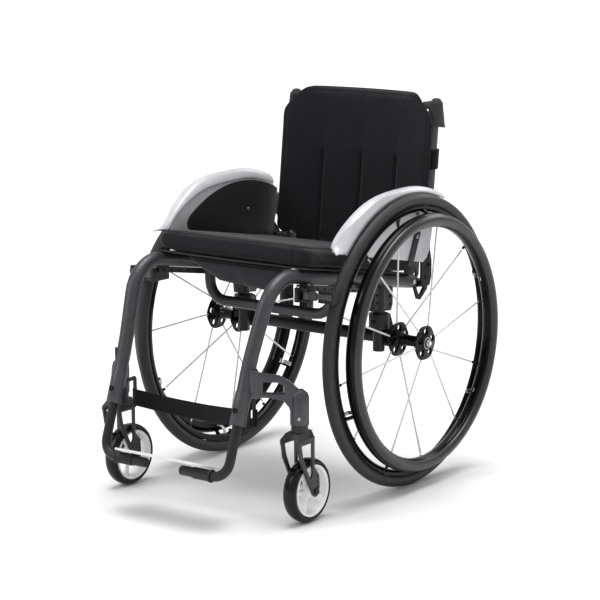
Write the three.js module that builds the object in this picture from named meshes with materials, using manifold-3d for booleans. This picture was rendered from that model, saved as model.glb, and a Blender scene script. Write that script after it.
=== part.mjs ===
// Rigid-frame manual wheelchair with a fold-forward backrest.
// Millimetres, +Z up. The chair faces -Y, its left side is -X and its right side is +X.
// The origin is on the floor under the middle of the rear axle; the last line centres the group.
import * as THREE from 'three';
import { mergeVertices } from 'three/addons/utils/BufferGeometryUtils.js';
import Module from 'manifold-3d';

const wasm = await Module();
wasm.setup();

// ---- driving dimensions -------------------------------------------------------------------
const GAP = 0.3; // clearance left between pieces that touch on the real chair

const TYRE_RADIUS = 295; // 24 x 1 inch wheel
const TYRE_SECTION = 12.5;
const WHEEL_X = 233; // half the rear track
const RIM_TOP = 272.3;
const RIM_BED = 259;
const SPOKE_COUNT = 12;
const SPOKE_START = 10; // degrees from the rear, turning up
const PARKED_TURN = -11; // the left wheel has stopped at another angle
const FLANGE_RADIUS = 35;
const FLANGE_OFFSET = 34;
const HANDRIM_RADIUS = 247;
const HANDRIM_OFFSET = 35;
const HANDRIM_TAB = { count: 6, start: 25, width: 9 };
const AXLE_RADIUS = 6;

const FRAME_TUBE = 14.3; // tube radius
const CROSS_TUBE = 11;
const RAIL_X = 172;
const RAIL_HEIGHT = 411.9; // rail centre line above the rear axle
const RAIL_SLOPE = -0.1686; // the seat falls towards the back
const RAIL_REAR = 86;
const KNEE = { y: -370, z: 474.3, bend: 80 };
const LEG_LEAN = 0.337; // forward lean of the legs, mm per mm of height
const LEG_X = 153;
const RECEIVER = { radius: 15.6, bore: 9.9, bottom: 203, top: 262, depth: 128 };

const FOOT_TUBE = 9.5;
const FOOT_AXIS = { y: -494.4, z: 106 };
const FOOT_INNER_X = 46;
const SLEEVE = { from: 75, to: 119, radius: 12.6 };
const PLATE = { half: 108, front: 34, rear: 62, thick: 4.5 };

const CASTOR = { x: 223.6, y: -339, radius: 62.5, half: 15.5, rim: 50 };
const STEM_Y = -362;
const HOUSING = { radius: 18.2, bottom: 195.5, top: 262 };
const FORK_PLATE = { inner: 17.8, thick: 4 };

const AXLE_TUBE = 13;
const DROP = { y: -26.8, radius: 12.3, bottom: 272 };

const SEAT = { half: 186, sling: 3, cushion: 44, front: -284, rear: 84, edge: 14 };

const POST = { x: 177, radius: 11, y: 144.5, at: 598, lean: 0.11, bottom: 446, top: 757 };
const PIVOT = { y: 110, z: 451, pin: 5 };
const PAD = { half: 188, bottom: 468, top: 775, corner: 48, bow: 30, tuck: 446, tuckHalf: 145 };
const PAD_FACE = { y: 120, z: 640 }; // the pad's front edges, at the height its plan is drawn

const GUARD = { inner: 200.5, skin: 3, outer: 229.5, radius: 309, lip: 299.6, rear: 61, front: 138 };
const LOCK = { x: 192, y: -298, low: 421, high: 437, pin: 3 };

const STRAP = { half: 144.5, endY: -410, sag: 25, top: 221, drop: 13, height: 33, thick: 2.4 };
const LOOP_X = { inner: 146, outer: 150.5 };

// ---- solids and curves --------------------------------------------------------------------
function toSolid(geometry) {
  const bare = geometry.clone();
  bare.deleteAttribute('normal');
  bare.deleteAttribute('uv');
  const merged = mergeVertices(bare, 1e-4);
  const index = merged.index.array;
  const kept = [];
  for (let i = 0; i < index.length; i += 3) {
    const [a, b, c] = [index[i], index[i + 1], index[i + 2]];
    if (a !== b && b !== c && c !== a) kept.push(a, b, c);
  }
  const vertProperties = new Float32Array(merged.attributes.position.array);
  const triVerts = new Uint32Array(kept);
  return new wasm.Manifold(new wasm.Mesh({ numProp: 3, vertProperties, triVerts }));
}

function toGeometry(solid) {
  const mesh = solid.getMesh();
  const geometry = new THREE.BufferGeometry();
  geometry.setAttribute('position', new THREE.BufferAttribute(mesh.vertProperties, 3));
  geometry.setIndex(new THREE.BufferAttribute(mesh.triVerts, 1));
  geometry.computeVertexNormals();
  return geometry;
}

// The same solid on the chair's other side.
function mirrorSolid(solid) {
  const geometry = toGeometry(solid).scale(-1, 1, 1);
  geometry.index.array.reverse();
  return toSolid(geometry);
}

function join(...solids) {
  return solids.reduce((sum, next) => sum.add(next));
}

function vec(x, y, z) {
  return new THREE.Vector3(x, y, z);
}

// A closed outline in the YZ plane, pushed along X from x0 to x1 and then put in its place.
function slabX(points, x0, x1, holes = [], place = new THREE.Matrix4()) {
  const outline = points.map(([y, z]) => new THREE.Vector2(y, z));
  if (THREE.ShapeUtils.isClockWise(outline)) outline.reverse();
  const shape = new THREE.Shape(outline);
  holes.forEach((hole) => shape.holes.push(hole));
  const geometry = new THREE.ExtrudeGeometry(shape, {
    depth: x1 - x0,
    bevelEnabled: false,
    curveSegments: 4,
  });
  const basis = new THREE.Matrix4().makeBasis(vec(0, 1, 0), vec(0, 0, 1), vec(1, 0, 0));
  return toSolid(geometry.applyMatrix4(basis).translate(x0, 0, 0).applyMatrix4(place));
}

// A closed outline in the XZ plane, pushed along Y from y0 to y1.
function slabY(points, y0, y1) {
  const shape = new THREE.Shape(points.map(([x, z]) => new THREE.Vector2(x, z)));
  const geometry = new THREE.ExtrudeGeometry(shape, { depth: y1 - y0, bevelEnabled: false });
  const basis = new THREE.Matrix4().makeBasis(vec(1, 0, 0), vec(0, 0, 1), vec(0, -1, 0));
  return toSolid(geometry.applyMatrix4(basis).translate(0, y1, 0));
}

function roundHole(y, z, radius) {
  return new THREE.Path().absarc(y, z, radius, 0, Math.PI * 2, true);
}

function block(x0, x1, y0, y1, z0, z1) {
  const geometry = new THREE.BoxGeometry(x1 - x0, y1 - y0, z1 - z0);
  return toSolid(geometry.translate((x0 + x1) / 2, (y0 + y1) / 2, (z0 + z1) / 2));
}

// A round bar between two points; the far end may have its own radius.
function rod(from, to, radius, sides = 16, endRadius = radius) {
  const length = from.distanceTo(to);
  const geometry = new THREE.CylinderGeometry(endRadius, radius, length, sides);
  const turn = new THREE.Quaternion().setFromUnitVectors(
    vec(0, 1, 0),
    to.clone().sub(from).normalize(),
  );
  const middle = from.clone().add(to).multiplyScalar(0.5);
  geometry.applyQuaternion(turn).translate(middle.x, middle.y, middle.z);
  return toSolid(geometry);
}

// A ring or turned part about the X axis; the profile is [radius, x] pairs.
function turned(profile, sides) {
  const points = profile.map(([r, x]) => new THREE.Vector2(r, x));
  if (THREE.ShapeUtils.isClockWise(points)) points.reverse();
  points.push(points[0].clone());
  const geometry = new THREE.LatheGeometry(points, sides);
  return toSolid(geometry.rotateZ(-Math.PI / 2));
}

function sectionProfile(radius, across, along, x, sides, from = 0, sweep = Math.PI * 2) {
  const closed = Math.abs(sweep - Math.PI * 2) < 1e-6;
  const steps = closed ? sides : sides - 1;
  return Array.from({ length: sides }, (_, i) => {
    const angle = from + (sweep * i) / steps;
    return [radius + across * Math.cos(angle), x + along * Math.sin(angle)];
  });
}

// A path that steps exactly through the given points, so straight runs stay one step long.
class StationPath extends THREE.Curve {
  constructor(points) {
    super();
    this.points = points;
    this.last = points.length - 1;
  }

  getPointAt(t) {
    return this.points[Math.round(t * this.last)].clone();
  }

  getTangentAt(t) {
    const i = Math.round(t * this.last);
    const before = this.points[Math.max(i - 1, 0)];
    const after = this.points[Math.min(i + 1, this.last)];
    const arriving = this.points[i].clone().sub(before).normalize();
    const leaving = after.clone().sub(this.points[i]).normalize();
    return arriving.add(leaving).normalize();
  }
}

function bentTube(points, radius, sides = 14) {
  const section = new THREE.Shape(Array.from({ length: sides }, (_, i) => {
    const [x, y] = polar(radius, (360 * i) / sides);
    return new THREE.Vector2(x, y);
  }));
  const geometry = new THREE.ExtrudeGeometry(section, {
    steps: points.length - 1,
    extrudePath: new StationPath(points),
  });
  return toSolid(geometry);
}

// Points of a straight run, a round bend about the corner, and a second straight run.
function cornerPoints(start, corner, end, bend, count = 8) {
  const back = start.clone().sub(corner).normalize();
  const ahead = end.clone().sub(corner).normalize();
  const half = Math.acos(THREE.MathUtils.clamp(back.dot(ahead), -1, 1)) / 2;
  const reach = bend / Math.tan(half);
  const axis = back.clone().add(ahead).normalize();
  const centre = corner.clone().addScaledVector(axis, bend / Math.sin(half));
  const a = corner.clone().addScaledVector(back, reach).sub(centre);
  const b = corner.clone().addScaledVector(ahead, reach).sub(centre);
  const total = a.angleTo(b);
  const normal = a.clone().cross(b).normalize();
  return Array.from({ length: count }, (_, i) =>
    a.clone().applyAxisAngle(normal, (total * i) / (count - 1)).add(centre),
  );
}

function railZ(y) {
  return RAIL_HEIGHT + RAIL_SLOPE * y;
}

function legY(z) {
  return FOOT_AXIS.y + LEG_LEAN * (z - FOOT_AXIS.z);
}

function postY(z) {
  return POST.y + POST.lean * (z - POST.at);
}

function polar(radius, degrees) {
  const angle = THREE.MathUtils.degToRad(degrees);
  return [radius * Math.cos(angle), radius * Math.sin(angle)];
}

// ---- materials ----------------------------------------------------------------------------
function paint(color, roughness, metalness) {
  return new THREE.MeshStandardMaterial({ color, roughness, metalness });
}

const anthracite = paint(0x4a494e, 0.42, 0.6);
const blackMetal = paint(0x1b1b1d, 0.5, 0.4);
const steel = paint(0xb9b9b6, 0.3, 1);
const silverShell = paint(0xd9d9de, 0.25, 0.1);
const carbon = paint(0x20211f, 0.35, 0.1);
const tyreRubber = paint(0x2c2c2e, 0.85, 0);
const blackPlastic = paint(0x151516, 0.55, 0);
const whitePlastic = paint(0xe6e6e8, 0.4, 0);
const lightPlate = paint(0xdcdcda, 0.4, 0.3);
const padFabric = paint(0x232326, 0.95, 0);
const nylon = paint(0x3a393e, 0.9, 0);
const webbing = paint(0x19191a, 0.95, 0);

// ---- frame --------------------------------------------------------------------------------
function sideTubePath() {
  const knee = vec(0, KNEE.y, KNEE.z);
  const bend = cornerPoints(vec(0, 0, railZ(0)), knee, vec(0, legY(200), 200), KNEE.bend, 10);
  const rail = [RAIL_REAR, -200, -240].map((y) => vec(0, y, railZ(y)));
  const leg = [370, 330, 295, RECEIVER.bottom].map((z) => vec(0, legY(z), z));
  const path = [...rail, ...bend, ...leg];
  path.forEach((p) => {
    const drop = THREE.MathUtils.clamp((KNEE.z - p.z) / (KNEE.z - 285), 0, 1);
    const inward = THREE.MathUtils.smoothstep(-p.y, 200, 372) * 7;
    const low = THREE.MathUtils.smoothstep(drop, 0.05, 0.95) * (RAIL_X - LEG_X - 7);
    p.x = p.y > -200 ? RAIL_X : RAIL_X - inward - low;
  });
  return path;
}

function legAxis(z, x = LEG_X) {
  return vec(x, legY(z), z);
}

const sideTube = bentTube(sideTubePath(), FRAME_TUBE, 15);
const sideTubeTool = bentTube(sideTubePath(), FRAME_TUBE + GAP, 15);

function sideFrame() {
  const collar = rod(legAxis(RECEIVER.bottom - 1), legAxis(RECEIVER.top), RECEIVER.radius, 18);
  const bore = rod(legAxis(RECEIVER.bottom - 4), legAxis(RECEIVER.bottom + RECEIVER.depth),
    RECEIVER.bore, 14);
  return sideTube.add(collar).subtract(bore);
}

function frontCrossTube() {
  const y = -160;
  const corner = vec(151, y - 2, 362);
  const up = vec(157, y + 2, railZ(y) + 2);
  const bend = cornerPoints(vec(0, y - 3, 364), corner, up, 40, 6);
  const right = [...bend, up];
  const left = right.map((p) => vec(-p.x, p.y, p.z)).reverse();
  const tube = bentTube([...left, ...right], CROSS_TUBE);
  return tube.subtract(sideTubeTool).subtract(mirrorSolid(sideTubeTool));
}

function axleTube() {
  return rod(vec(-189, 0, TYRE_RADIUS), vec(189, 0, TYRE_RADIUS), AXLE_TUBE, 18)
    .subtract(rod(vec(-200, 0, TYRE_RADIUS), vec(200, 0, TYRE_RADIUS), AXLE_TUBE - 5, 12));
}

function dropTube() {
  const top = railZ(DROP.y) - 8;
  const tube = rod(vec(RAIL_X, DROP.y, DROP.bottom), vec(RAIL_X, DROP.y, top), DROP.radius, 16);
  const outline = [[-52, 356], [6, 350], [12, 362], [12, 402], [-50, 412], [-54, 370]];
  const holes = [[-43, 372], [-43, 388], [2, 364], [2, 380]].map(([y, z]) => roundHole(y, z, 3.6));
  const plate = slabX(outline, RAIL_X - 7, RAIL_X + 7, holes);
  return tube.add(plate).subtract(sideTubeTool);
}

function axleClamp() {
  const ring = rod(vec(RAIL_X, DROP.y, 318), vec(RAIL_X, DROP.y, 349), 20.5, 20);
  const socket = rod(vec(RAIL_X - 13, 0, TYRE_RADIUS), vec(189.5, 0, TYRE_RADIUS), 18, 18);
  const cheek = [[-40, 320], [-2, 346], [12, 312], [12, 296], [-16, 296]];
  const web = slabX(cheek, RAIL_X - 11, RAIL_X + 11);
  const post = rod(vec(RAIL_X, DROP.y, 250), vec(RAIL_X, DROP.y, 420), DROP.radius + GAP, 16);
  const axle = rod(vec(0, 0, TYRE_RADIUS), vec(300, 0, TYRE_RADIUS), AXLE_TUBE + GAP, 18);
  return join(ring, socket, web).subtract(post).subtract(axle);
}

function accessoryRail() {
  const front = -300;
  const rear = -66;
  const under = FRAME_TUBE / Math.cos(Math.atan(RAIL_SLOPE)) + 0.5;
  const outline = [
    [front, railZ(front) - under], [rear, railZ(rear) - under],
    [rear, railZ(rear) - under - 12], [front, railZ(front) - under - 12],
  ];
  const holes = [];
  for (let y = front + 12; y < rear - 6; y += 24) {
    const z = railZ(y) - under - 6;
    holes.push(rod(vec(RAIL_X - 5, y, z), vec(RAIL_X + 5, y, z), 2.6, 6));
  }
  const strip = slabX(outline, RAIL_X - 2.5, RAIL_X + 2.5);
  return holes.reduce((left, hole) => left.subtract(hole), strip);
}

// ---- castors ------------------------------------------------------------------------------
// The arm stands in the upright plane through the leg and the stem: s runs from leg to stem.
function armPlace() {
  const leg = vec(LEG_X + 0.5, legY(280), 0);
  const stem = vec(CASTOR.x, STEM_Y, 0);
  const along = stem.sub(leg).normalize();
  const across = vec(along.y, -along.x, 0);
  return new THREE.Matrix4().makeBasis(across, along, vec(0, 0, 1)).setPosition(leg);
}

function castorArm() {
  const reach = Math.hypot(CASTOR.x - LEG_X - 0.5, STEM_Y - legY(280));
  const outline = [
    [4, 256], [4, 304], [20, 303], [26, 297], [64, 290], [83, 279], [102, 262], [reach + 8, 262],
    [reach + 8, 205], [reach - 12, 205], [82, 228], [70, 243], [45, 250], [20, 252],
  ];
  const window = new THREE.Path([[30, 259], [31, 281], [58, 279], [72, 272], [72, 256], [50, 257]]
    .map(([s, z]) => new THREE.Vector2(s, z)));
  const plate = slabX(outline, -9, 9, [window], armPlace());
  const root = slabX([[4, 252], [4, 306], [22, 304], [22, 250]], -13, 13, [], armPlace());
  const housing = rod(vec(CASTOR.x, STEM_Y, HOUSING.bottom), vec(CASTOR.x, STEM_Y, 248),
    HOUSING.radius, 16);
  const dome = toSolid(new THREE.SphereGeometry(HOUSING.radius, 16, 6).rotateX(Math.PI / 2)
    .scale(1, 1, 0.85).translate(CASTOR.x, STEM_Y, 248));
  const scoop = toSolid(new THREE.SphereGeometry(26, 12, 8).scale(0.42, 0.55, 1)
    .translate(CASTOR.x + 15, STEM_Y - 18, 256));
  const collar = rod(legAxis(180), legAxis(RECEIVER.top + GAP), RECEIVER.radius + GAP, 18);
  return join(plate, root, housing, dome).subtract(scoop).subtract(sideTubeTool).subtract(collar);
}

function forkPlate(x0, x1) {
  const tip = Array.from({ length: 7 }, (_, i) => {
    const [y, z] = polar(10.5, 190 + (i * 160) / 6);
    return [CASTOR.y + y, CASTOR.radius + z];
  });
  const outline = [[-395, 168], [-389, 133], [-380, 116], [-363, 83], ...tip,
    [-327, 72], [-329, 95], [-343.5, 110], [-343.5, 172]];
  const window = new THREE.Path([
    [-385, 163], [-380, 137], [-371, 117], [-356, 88], [-350, 99], [-351, 163],
  ].map(([y, z]) => new THREE.Vector2(y, z)));
  const holes = [71, 81, 91].map((z) => roundHole(-335.5, z, 2.4));
  return slabX(outline, x0, x1, [window, ...holes]);
}

// The crown slopes down to the two plates and is arched over the wheel.
function forkCrown(near, far) {
  const side = [[-395, 160], [-395, 168], [-384, 181], [-345, 184], [-343.5, 172], [-343.5, 160]];
  const front = [[far, 160], [near, 160], [near, 169], [near - 8, 186], [far + 8, 186], [far, 169]];
  const arch = rod(vec(CASTOR.x, -400, 157), vec(CASTOR.x, -330, 157), FORK_PLATE.inner, 20);
  return slabX(side, far, near).intersect(slabY(front, -400, -330)).subtract(arch);
}

// The fork is modelled in the chair's frame and stands about x = CASTOR.x.
function castorFork() {
  const near = CASTOR.x + FORK_PLATE.inner;
  const far = CASTOR.x - FORK_PLATE.inner;
  const plates = [forkPlate(near, near + FORK_PLATE.thick), forkPlate(far - FORK_PLATE.thick, far)];
  const crown = forkCrown(near + FORK_PLATE.thick, far - FORK_PLATE.thick);
  const top = HOUSING.bottom - GAP;
  const collar = rod(vec(CASTOR.x, STEM_Y, 178), vec(CASTOR.x, STEM_Y, top), 16.2, 16);
  const bore = rod(vec(CASTOR.x - 40, CASTOR.y, CASTOR.radius),
    vec(CASTOR.x + 40, CASTOR.y, CASTOR.radius), 4 + GAP, 12);
  return join(...plates, crown, collar).subtract(bore);
}

function castorAxle() {
  const { x, y, radius } = CASTOR;
  const edge = FORK_PLATE.inner + FORK_PLATE.thick + GAP;
  const shaft = rod(vec(x - edge - 2, y, radius), vec(x + edge + 2, y, radius), 4, 12);
  const heads = [-1, 1].map((side) =>
    rod(vec(x + side * edge, y, radius), vec(x + side * (edge + 4), y, radius), 7, 14, 6));
  return join(shaft, ...heads);
}

function castorTyre() {
  const { radius, half, rim } = CASTOR;
  return turned([
    [rim + GAP, -12], [55, -half], [60, -12.5], [radius, -5],
    [radius, 5], [60, 12.5], [55, half], [rim + GAP, 12],
  ], 28);
}

function castorRim() {
  const ring = turned([[45, -13], [45, 13], [CASTOR.rim, 14], [CASTOR.rim, -14]], 28);
  const boss = turned([[4 + GAP, -16], [11, -16], [13, -9], [13, 9], [11, 16], [4 + GAP, 16]], 12);
  const arms = Array.from({ length: 6 }, (_, i) => {
    const arm = new THREE.BoxGeometry(16, 37.5, 6).translate(0, 27.75, 0);
    return toSolid(arm.rotateX(THREE.MathUtils.degToRad(60 * i + 15)));
  });
  return join(ring, boss, ...arms);
}

// ---- rear wheels --------------------------------------------------------------------------
function tyre() {
  const centre = TYRE_RADIUS - TYRE_SECTION;
  const cut = Math.acos((centre - RIM_TOP - GAP) / TYRE_SECTION);
  const from = -(Math.PI - cut);
  return turned(sectionProfile(centre, TYRE_SECTION, TYRE_SECTION, 0, 9, from, -2 * from), 52);
}

function rim() {
  return turned([
    [RIM_BED, -6.5], [RIM_BED, 6.5], [262, 9.2], [RIM_TOP, 10.6],
    [RIM_TOP, -10.6], [262, -9.2],
  ], 52);
}

function hubBody() {
  const o = FLANGE_OFFSET;
  const body = turned([
    [AXLE_RADIUS + 0.7, -o - 3], [13, -o - 3], [FLANGE_RADIUS, -o + 0.5],
    [FLANGE_RADIUS, -o + 4], [14, -o + 8], [11, 0], [14, o - 8],
    [FLANGE_RADIUS, o - 4], [FLANGE_RADIUS, o - 0.5], [13, o + 3],
    [AXLE_RADIUS + 0.7, o + 3],
  ], 20);
  const cuts = Array.from({ length: 5 }, (_, i) => {
    const [y, z] = polar(22.5, 72 * i + 18);
    return rod(vec(-60, y, z), vec(60, y, z), 6.2, 6);
  });
  return cuts.reduce((left, hole) => left.subtract(hole), body);
}

// Radial spokes, led in turn from the outer and the inner flange, with long black nipples.
function hubWithSpokes() {
  const spokes = Array.from({ length: SPOKE_COUNT }, (_, i) => {
    const side = i % 2 === 0 ? 1 : -1;
    const angle = SPOKE_START + (360 / SPOKE_COUNT) * i;
    const at = (r, x) => vec(x, ...polar(r, angle));
    const slant = (r) => side * (2 + ((FLANGE_OFFSET - 4) * (RIM_BED - r)) / (RIM_BED - 31));
    const wire = rod(at(31, slant(31)), at(246, slant(246)), 1.35, 4);
    const nipple = rod(at(243, slant(243)), at(RIM_BED - 1, slant(RIM_BED)), 2.7, 5);
    return wire.add(nipple);
  });
  return join(hubBody(), ...spokes);
}

function handrim() {
  const ring = turned(sectionProfile(HANDRIM_RADIUS, 12.6, 13.6, HANDRIM_OFFSET, 7), 52);
  const tabs = Array.from({ length: HANDRIM_TAB.count }, (_, i) => {
    const { start, width, count } = HANDRIM_TAB;
    const outline = [[11, 257.5], [11, 269], [30, 252], [30, 244]];
    const shape = new THREE.Shape(outline.map(([x, r]) => new THREE.Vector2(x, r)));
    const geometry = new THREE.ExtrudeGeometry(shape, { depth: width, bevelEnabled: false });
    geometry.translate(0, 0, -width / 2);
    return toSolid(geometry.rotateX(THREE.MathUtils.degToRad(start + (360 / count) * i)));
  });
  return join(ring, ...tabs);
}

function axlePin() {
  const end = FLANGE_OFFSET + 4;
  const pin = rod(vec(-WHEEL_X + 183, 0, 0), vec(end, 0, 0), AXLE_RADIUS, 14);
  const button = rod(vec(end - 0.5, 0, 0), vec(end + 5, 0, 0), 8.2, 14, 7);
  const spacer = rod(vec(-WHEEL_X + 189.6, 0, 0), vec(-FLANGE_OFFSET - 3.5, 0, 0), 10.5, 14);
  return join(pin, button, spacer);
}

// ---- footrest -----------------------------------------------------------------------------
function footTube() {
  const corner = vec(LEG_X, FOOT_AXIS.y, FOOT_AXIS.z);
  const top = legAxis(RECEIVER.bottom + 88);
  const inner = vec(FOOT_INNER_X, FOOT_AXIS.y, FOOT_AXIS.z);
  return bentTube([top, ...cornerPoints(top, corner, inner, 32), inner], FOOT_TUBE);
}

function footSleeve() {
  const { from, to, radius } = SLEEVE;
  const at = (x) => vec(x, FOOT_AXIS.y, FOOT_AXIS.z);
  const body = rod(at(from), at(to), radius - 1.4, 16);
  const ring = rod(at(to - 5), at(to), radius, 16);
  const bore = rod(at(from - 5), at(to + 5), FOOT_TUBE + 0.6, 12);
  return body.add(ring).subtract(bore);
}

// The plate lies square to the legs, on top of the two sleeves.
function footplate() {
  const lean = Math.atan(LEG_LEAN);
  const { half, front, rear, thick } = PLATE;
  const shape = new THREE.Shape();
  const r = 16;
  shape.moveTo(-half + r, -front);
  shape.lineTo(half - r, -front);
  shape.absarc(half - r, -front + r, r, -Math.PI / 2, 0);
  shape.lineTo(half, rear - r);
  shape.absarc(half - r, rear - r, r, 0, Math.PI / 2);
  shape.lineTo(-half + r, rear);
  shape.absarc(-half + r, rear - r, r, Math.PI / 2, Math.PI);
  shape.lineTo(-half, -front + r);
  shape.absarc(-half + r, -front + r, r, Math.PI, Math.PI * 1.5);
  const geometry = new THREE.ExtrudeGeometry(shape, {
    depth: thick,
    bevelEnabled: false,
    curveSegments: 5,
  });
  geometry.translate(0, 0, SLEEVE.radius + GAP);
  geometry.rotateX(-lean).translate(0, FOOT_AXIS.y, FOOT_AXIS.z);
  return toSolid(geometry);
}

// ---- calf strap ---------------------------------------------------------------------------
function calfStrap() {
  const steps = 12;
  const edge = (shift) => Array.from({ length: steps + 1 }, (_, i) => {
    const x = -STRAP.half + (2 * STRAP.half * i) / steps;
    return new THREE.Vector2(x, STRAP.endY + STRAP.sag * (1 - (x / STRAP.half) ** 2) + shift);
  });
  const shape = new THREE.Shape([...edge(-STRAP.thick / 2), ...edge(STRAP.thick / 2).reverse()]);
  const geometry = new THREE.ExtrudeGeometry(shape, { depth: STRAP.height, bevelEnabled: false });
  const position = geometry.attributes.position;
  for (let i = 0; i < position.count; i += 1) {
    const hang = 1 - (position.getX(i) / STRAP.half) ** 2;
    position.setZ(i, position.getZ(i) + STRAP.top - STRAP.height - STRAP.drop * hang);
  }
  return toSolid(geometry);
}

function strapLoop() {
  const outline = [
    [-449, 196], [-436, 243], [-405, 246], [-401, 241], [-401, 186], [-405, 183], [-449, 186],
  ];
  const hole = new THREE.Path([[-440, 192], [-432, 237], [-408, 239], [-407, 190]]
    .map(([y, z]) => new THREE.Vector2(y, z)));
  const plate = slabX(outline, LOOP_X.inner, LOOP_X.outer, [hole]);
  const collar = rod(legAxis(186), legAxis(265), RECEIVER.radius + GAP, 18);
  return plate.subtract(collar).subtract(sideTubeTool);
}

// ---- seat ---------------------------------------------------------------------------------
function seatBand(front, rear, low, high) {
  const top = RAIL_HEIGHT + FRAME_TUBE / Math.cos(Math.atan(RAIL_SLOPE));
  const z = (y, lift) => top + RAIL_SLOPE * y + lift;
  return [
    [front, z(front, low)], [rear, z(rear, low)], [rear, z(rear, high)], [front, z(front, high)],
  ];
}

function seatSling() {
  return slabX(seatBand(-300, 78, 0.5, 0.5 + SEAT.sling), -SEAT.half, SEAT.half);
}

function seatCushion() {
  const low = 0.9 + SEAT.sling;
  const high = low + SEAT.cushion;
  const { front, rear, edge } = SEAT;
  const [a, b, c, d] = seatBand(front, rear, low, high);
  const top = [rear - edge, c[1] - RAIL_SLOPE * edge];
  const body = slabX([a, b, [rear, c[1] - edge], top, d], -SEAT.half, SEAT.half);
  const middle = RAIL_HEIGHT + FRAME_TUBE + RAIL_SLOPE * SEAT.front + (low + high) / 2 + 0.4;
  const noseY = SEAT.front + 13;
  const nose = rod(vec(-SEAT.half, noseY, middle), vec(SEAT.half, noseY, middle), 21, 16);
  return body.add(nose).intersect(slabX(seatBand(-400, 200, low, high), -SEAT.half, SEAT.half));
}

function seatPouch() {
  const bag = slabY([[-128, 472], [-76, 412], [76, 412], [128, 472]], -282, -240);
  return bag.intersect(slabX(seatBand(-400, 0, -80, 0.2), -SEAT.half, SEAT.half));
}

// ---- backrest -----------------------------------------------------------------------------
function postPoint(z) {
  return vec(POST.x, postY(z), z);
}

function backPost() {
  const post = rod(postPoint(POST.bottom), postPoint(POST.top), POST.radius, 16);
  const knuckle = slabX([
    [PIVOT.y - 10, PIVOT.z - 6], [PIVOT.y - 2, PIVOT.z - 12], [PIVOT.y + 16, PIVOT.z - 12],
    [138, 444], [138, 462], [PIVOT.y + 6, PIVOT.z + 12], [PIVOT.y - 6, PIVOT.z + 10],
  ], POST.x - 8, POST.x + 8);
  const bore = rod(vec(100, PIVOT.y, PIVOT.z), vec(250, PIVOT.y, PIVOT.z), PIVOT.pin + 0.6, 16);
  return post.add(knuckle).subtract(bore);
}

// One cheek plate stands each side of the post's knuckle; only the inner one reaches along the rail.
function outerPlate() {
  return slabX([
    [94, 398], [94, 452], [102, 463], [116, 463], [126, 456], [131, 436], [131, 404], [124, 386],
    [100, 386],
  ], 189.2, 193.4);
}

function innerPlate() {
  return slabX([
    [20, 418], [92, 408], [94, 452], [102, 463], [118, 463], [134, 456], [144, 430], [142, 402],
    [130, 386], [76, 386], [40, 394], [30, 402],
  ], 150.6, 154.8, [roundHole(128, 404, 4.5)]);
}

// The tie-down loop hangs in line with the rail.
function tieDown() {
  const slot = new THREE.Path([[95, 384], [103, 368], [112, 368], [123, 380], [122, 384]]
    .map(([y, z]) => new THREE.Vector2(y, z)));
  return slabX([
    [96, 392], [87, 386], [99, 359], [109, 356], [134, 375], [137, 384], [130, 392],
  ], 175.5, 181, [slot]);
}

function backHinge() {
  const pin = rod(vec(152, PIVOT.y, PIVOT.z), vec(192, PIVOT.y, PIVOT.z), PIVOT.pin, 16);
  const foot = block(152, 192, 96, 124, 386, 398);
  const bosses = [44, 70].map((y) => rod(vec(152, y, railZ(y)), vec(172, y, railZ(y)), 8, 12));
  return join(outerPlate(), innerPlate(), tieDown(), pin, foot, ...bosses).subtract(sideTubeTool);
}

function padPlan(grow) {
  const { half, bow } = PAD;
  const front = Array.from({ length: 13 }, (_, i) => {
    const x = -half + (2 * half * i) / 12;
    return [x, PAD_FACE.y - grow + bow * (1 - (x / half) ** 2)];
  });
  const rear = [[half, 133], [161, 134], [148, 158], [100, 174], [0, 182]];
  const back = [...rear, ...rear.slice(0, 4).reverse().map(([x, y]) => [-x, y])];
  return [...front, ...back.map(([x, y]) => [x, y + grow])];
}

// The pad's plan is drawn at the height PAD_FACE.z and leans back with the posts.
function padSolid(grow = 0) {
  const shape = new THREE.Shape(padPlan(grow).map(([x, y]) => new THREE.Vector2(x, y)));
  const bottom = PAD.tuck - grow;
  const depth = PAD.top - bottom + grow;
  const geometry = new THREE.ExtrudeGeometry(shape, { depth, bevelEnabled: false });
  geometry.translate(0, 0, bottom);
  const shift = -PAD_FACE.z * POST.lean;
  const lean = new THREE.Matrix4().set(1, 0, 0, 0, 0, 1, POST.lean, shift, 0, 0, 1, 0, 0, 0, 0, 1);
  return toSolid(geometry.applyMatrix4(lean));
}

// The middle of the pad tucks down behind the seat cushion, between the hinges.
function backPad() {
  const { half, bottom, top, corner, tuck, tuckHalf } = PAD;
  const shoulders = [];
  for (let i = 0; i <= 6; i += 1) {
    const [x, z] = polar(corner, (90 * i) / 6);
    shoulders.push([half - corner + x, top - corner + z]);
  }
  const mirrored = shoulders.map(([x, z]) => [-x, z]).reverse();
  const foot = [
    [-half, bottom], [-tuckHalf, bottom], [-tuckHalf, tuck],
    [tuckHalf, tuck], [tuckHalf, bottom], [half, bottom],
  ];
  const front = slabY([...foot, ...shoulders, ...mirrored], 50, 250);
  return padSolid().intersect(front);
}

function postCap() {
  const shape = new THREE.CylinderGeometry(1, 1, 1, 24).rotateX(Math.PI / 2);
  shape.scale(15.5, 24.5, 62).translate(POST.x, postY(733) + 5.5, 734);
  const core = rod(postPoint(690), postPoint(POST.top + GAP), POST.radius + 0.5, 16);
  return toSolid(shape).subtract(core).subtract(padSolid(0.6));
}

function postStrap() {
  const at = (z) => vec(POST.x, postY(642) + 2, z);
  const outer = rod(at(622), at(662), 15.4, 16);
  const core = rod(postPoint(600), postPoint(690), POST.radius + 0.5, 16);
  return outer.subtract(core).subtract(padSolid(0.6));
}

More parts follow.
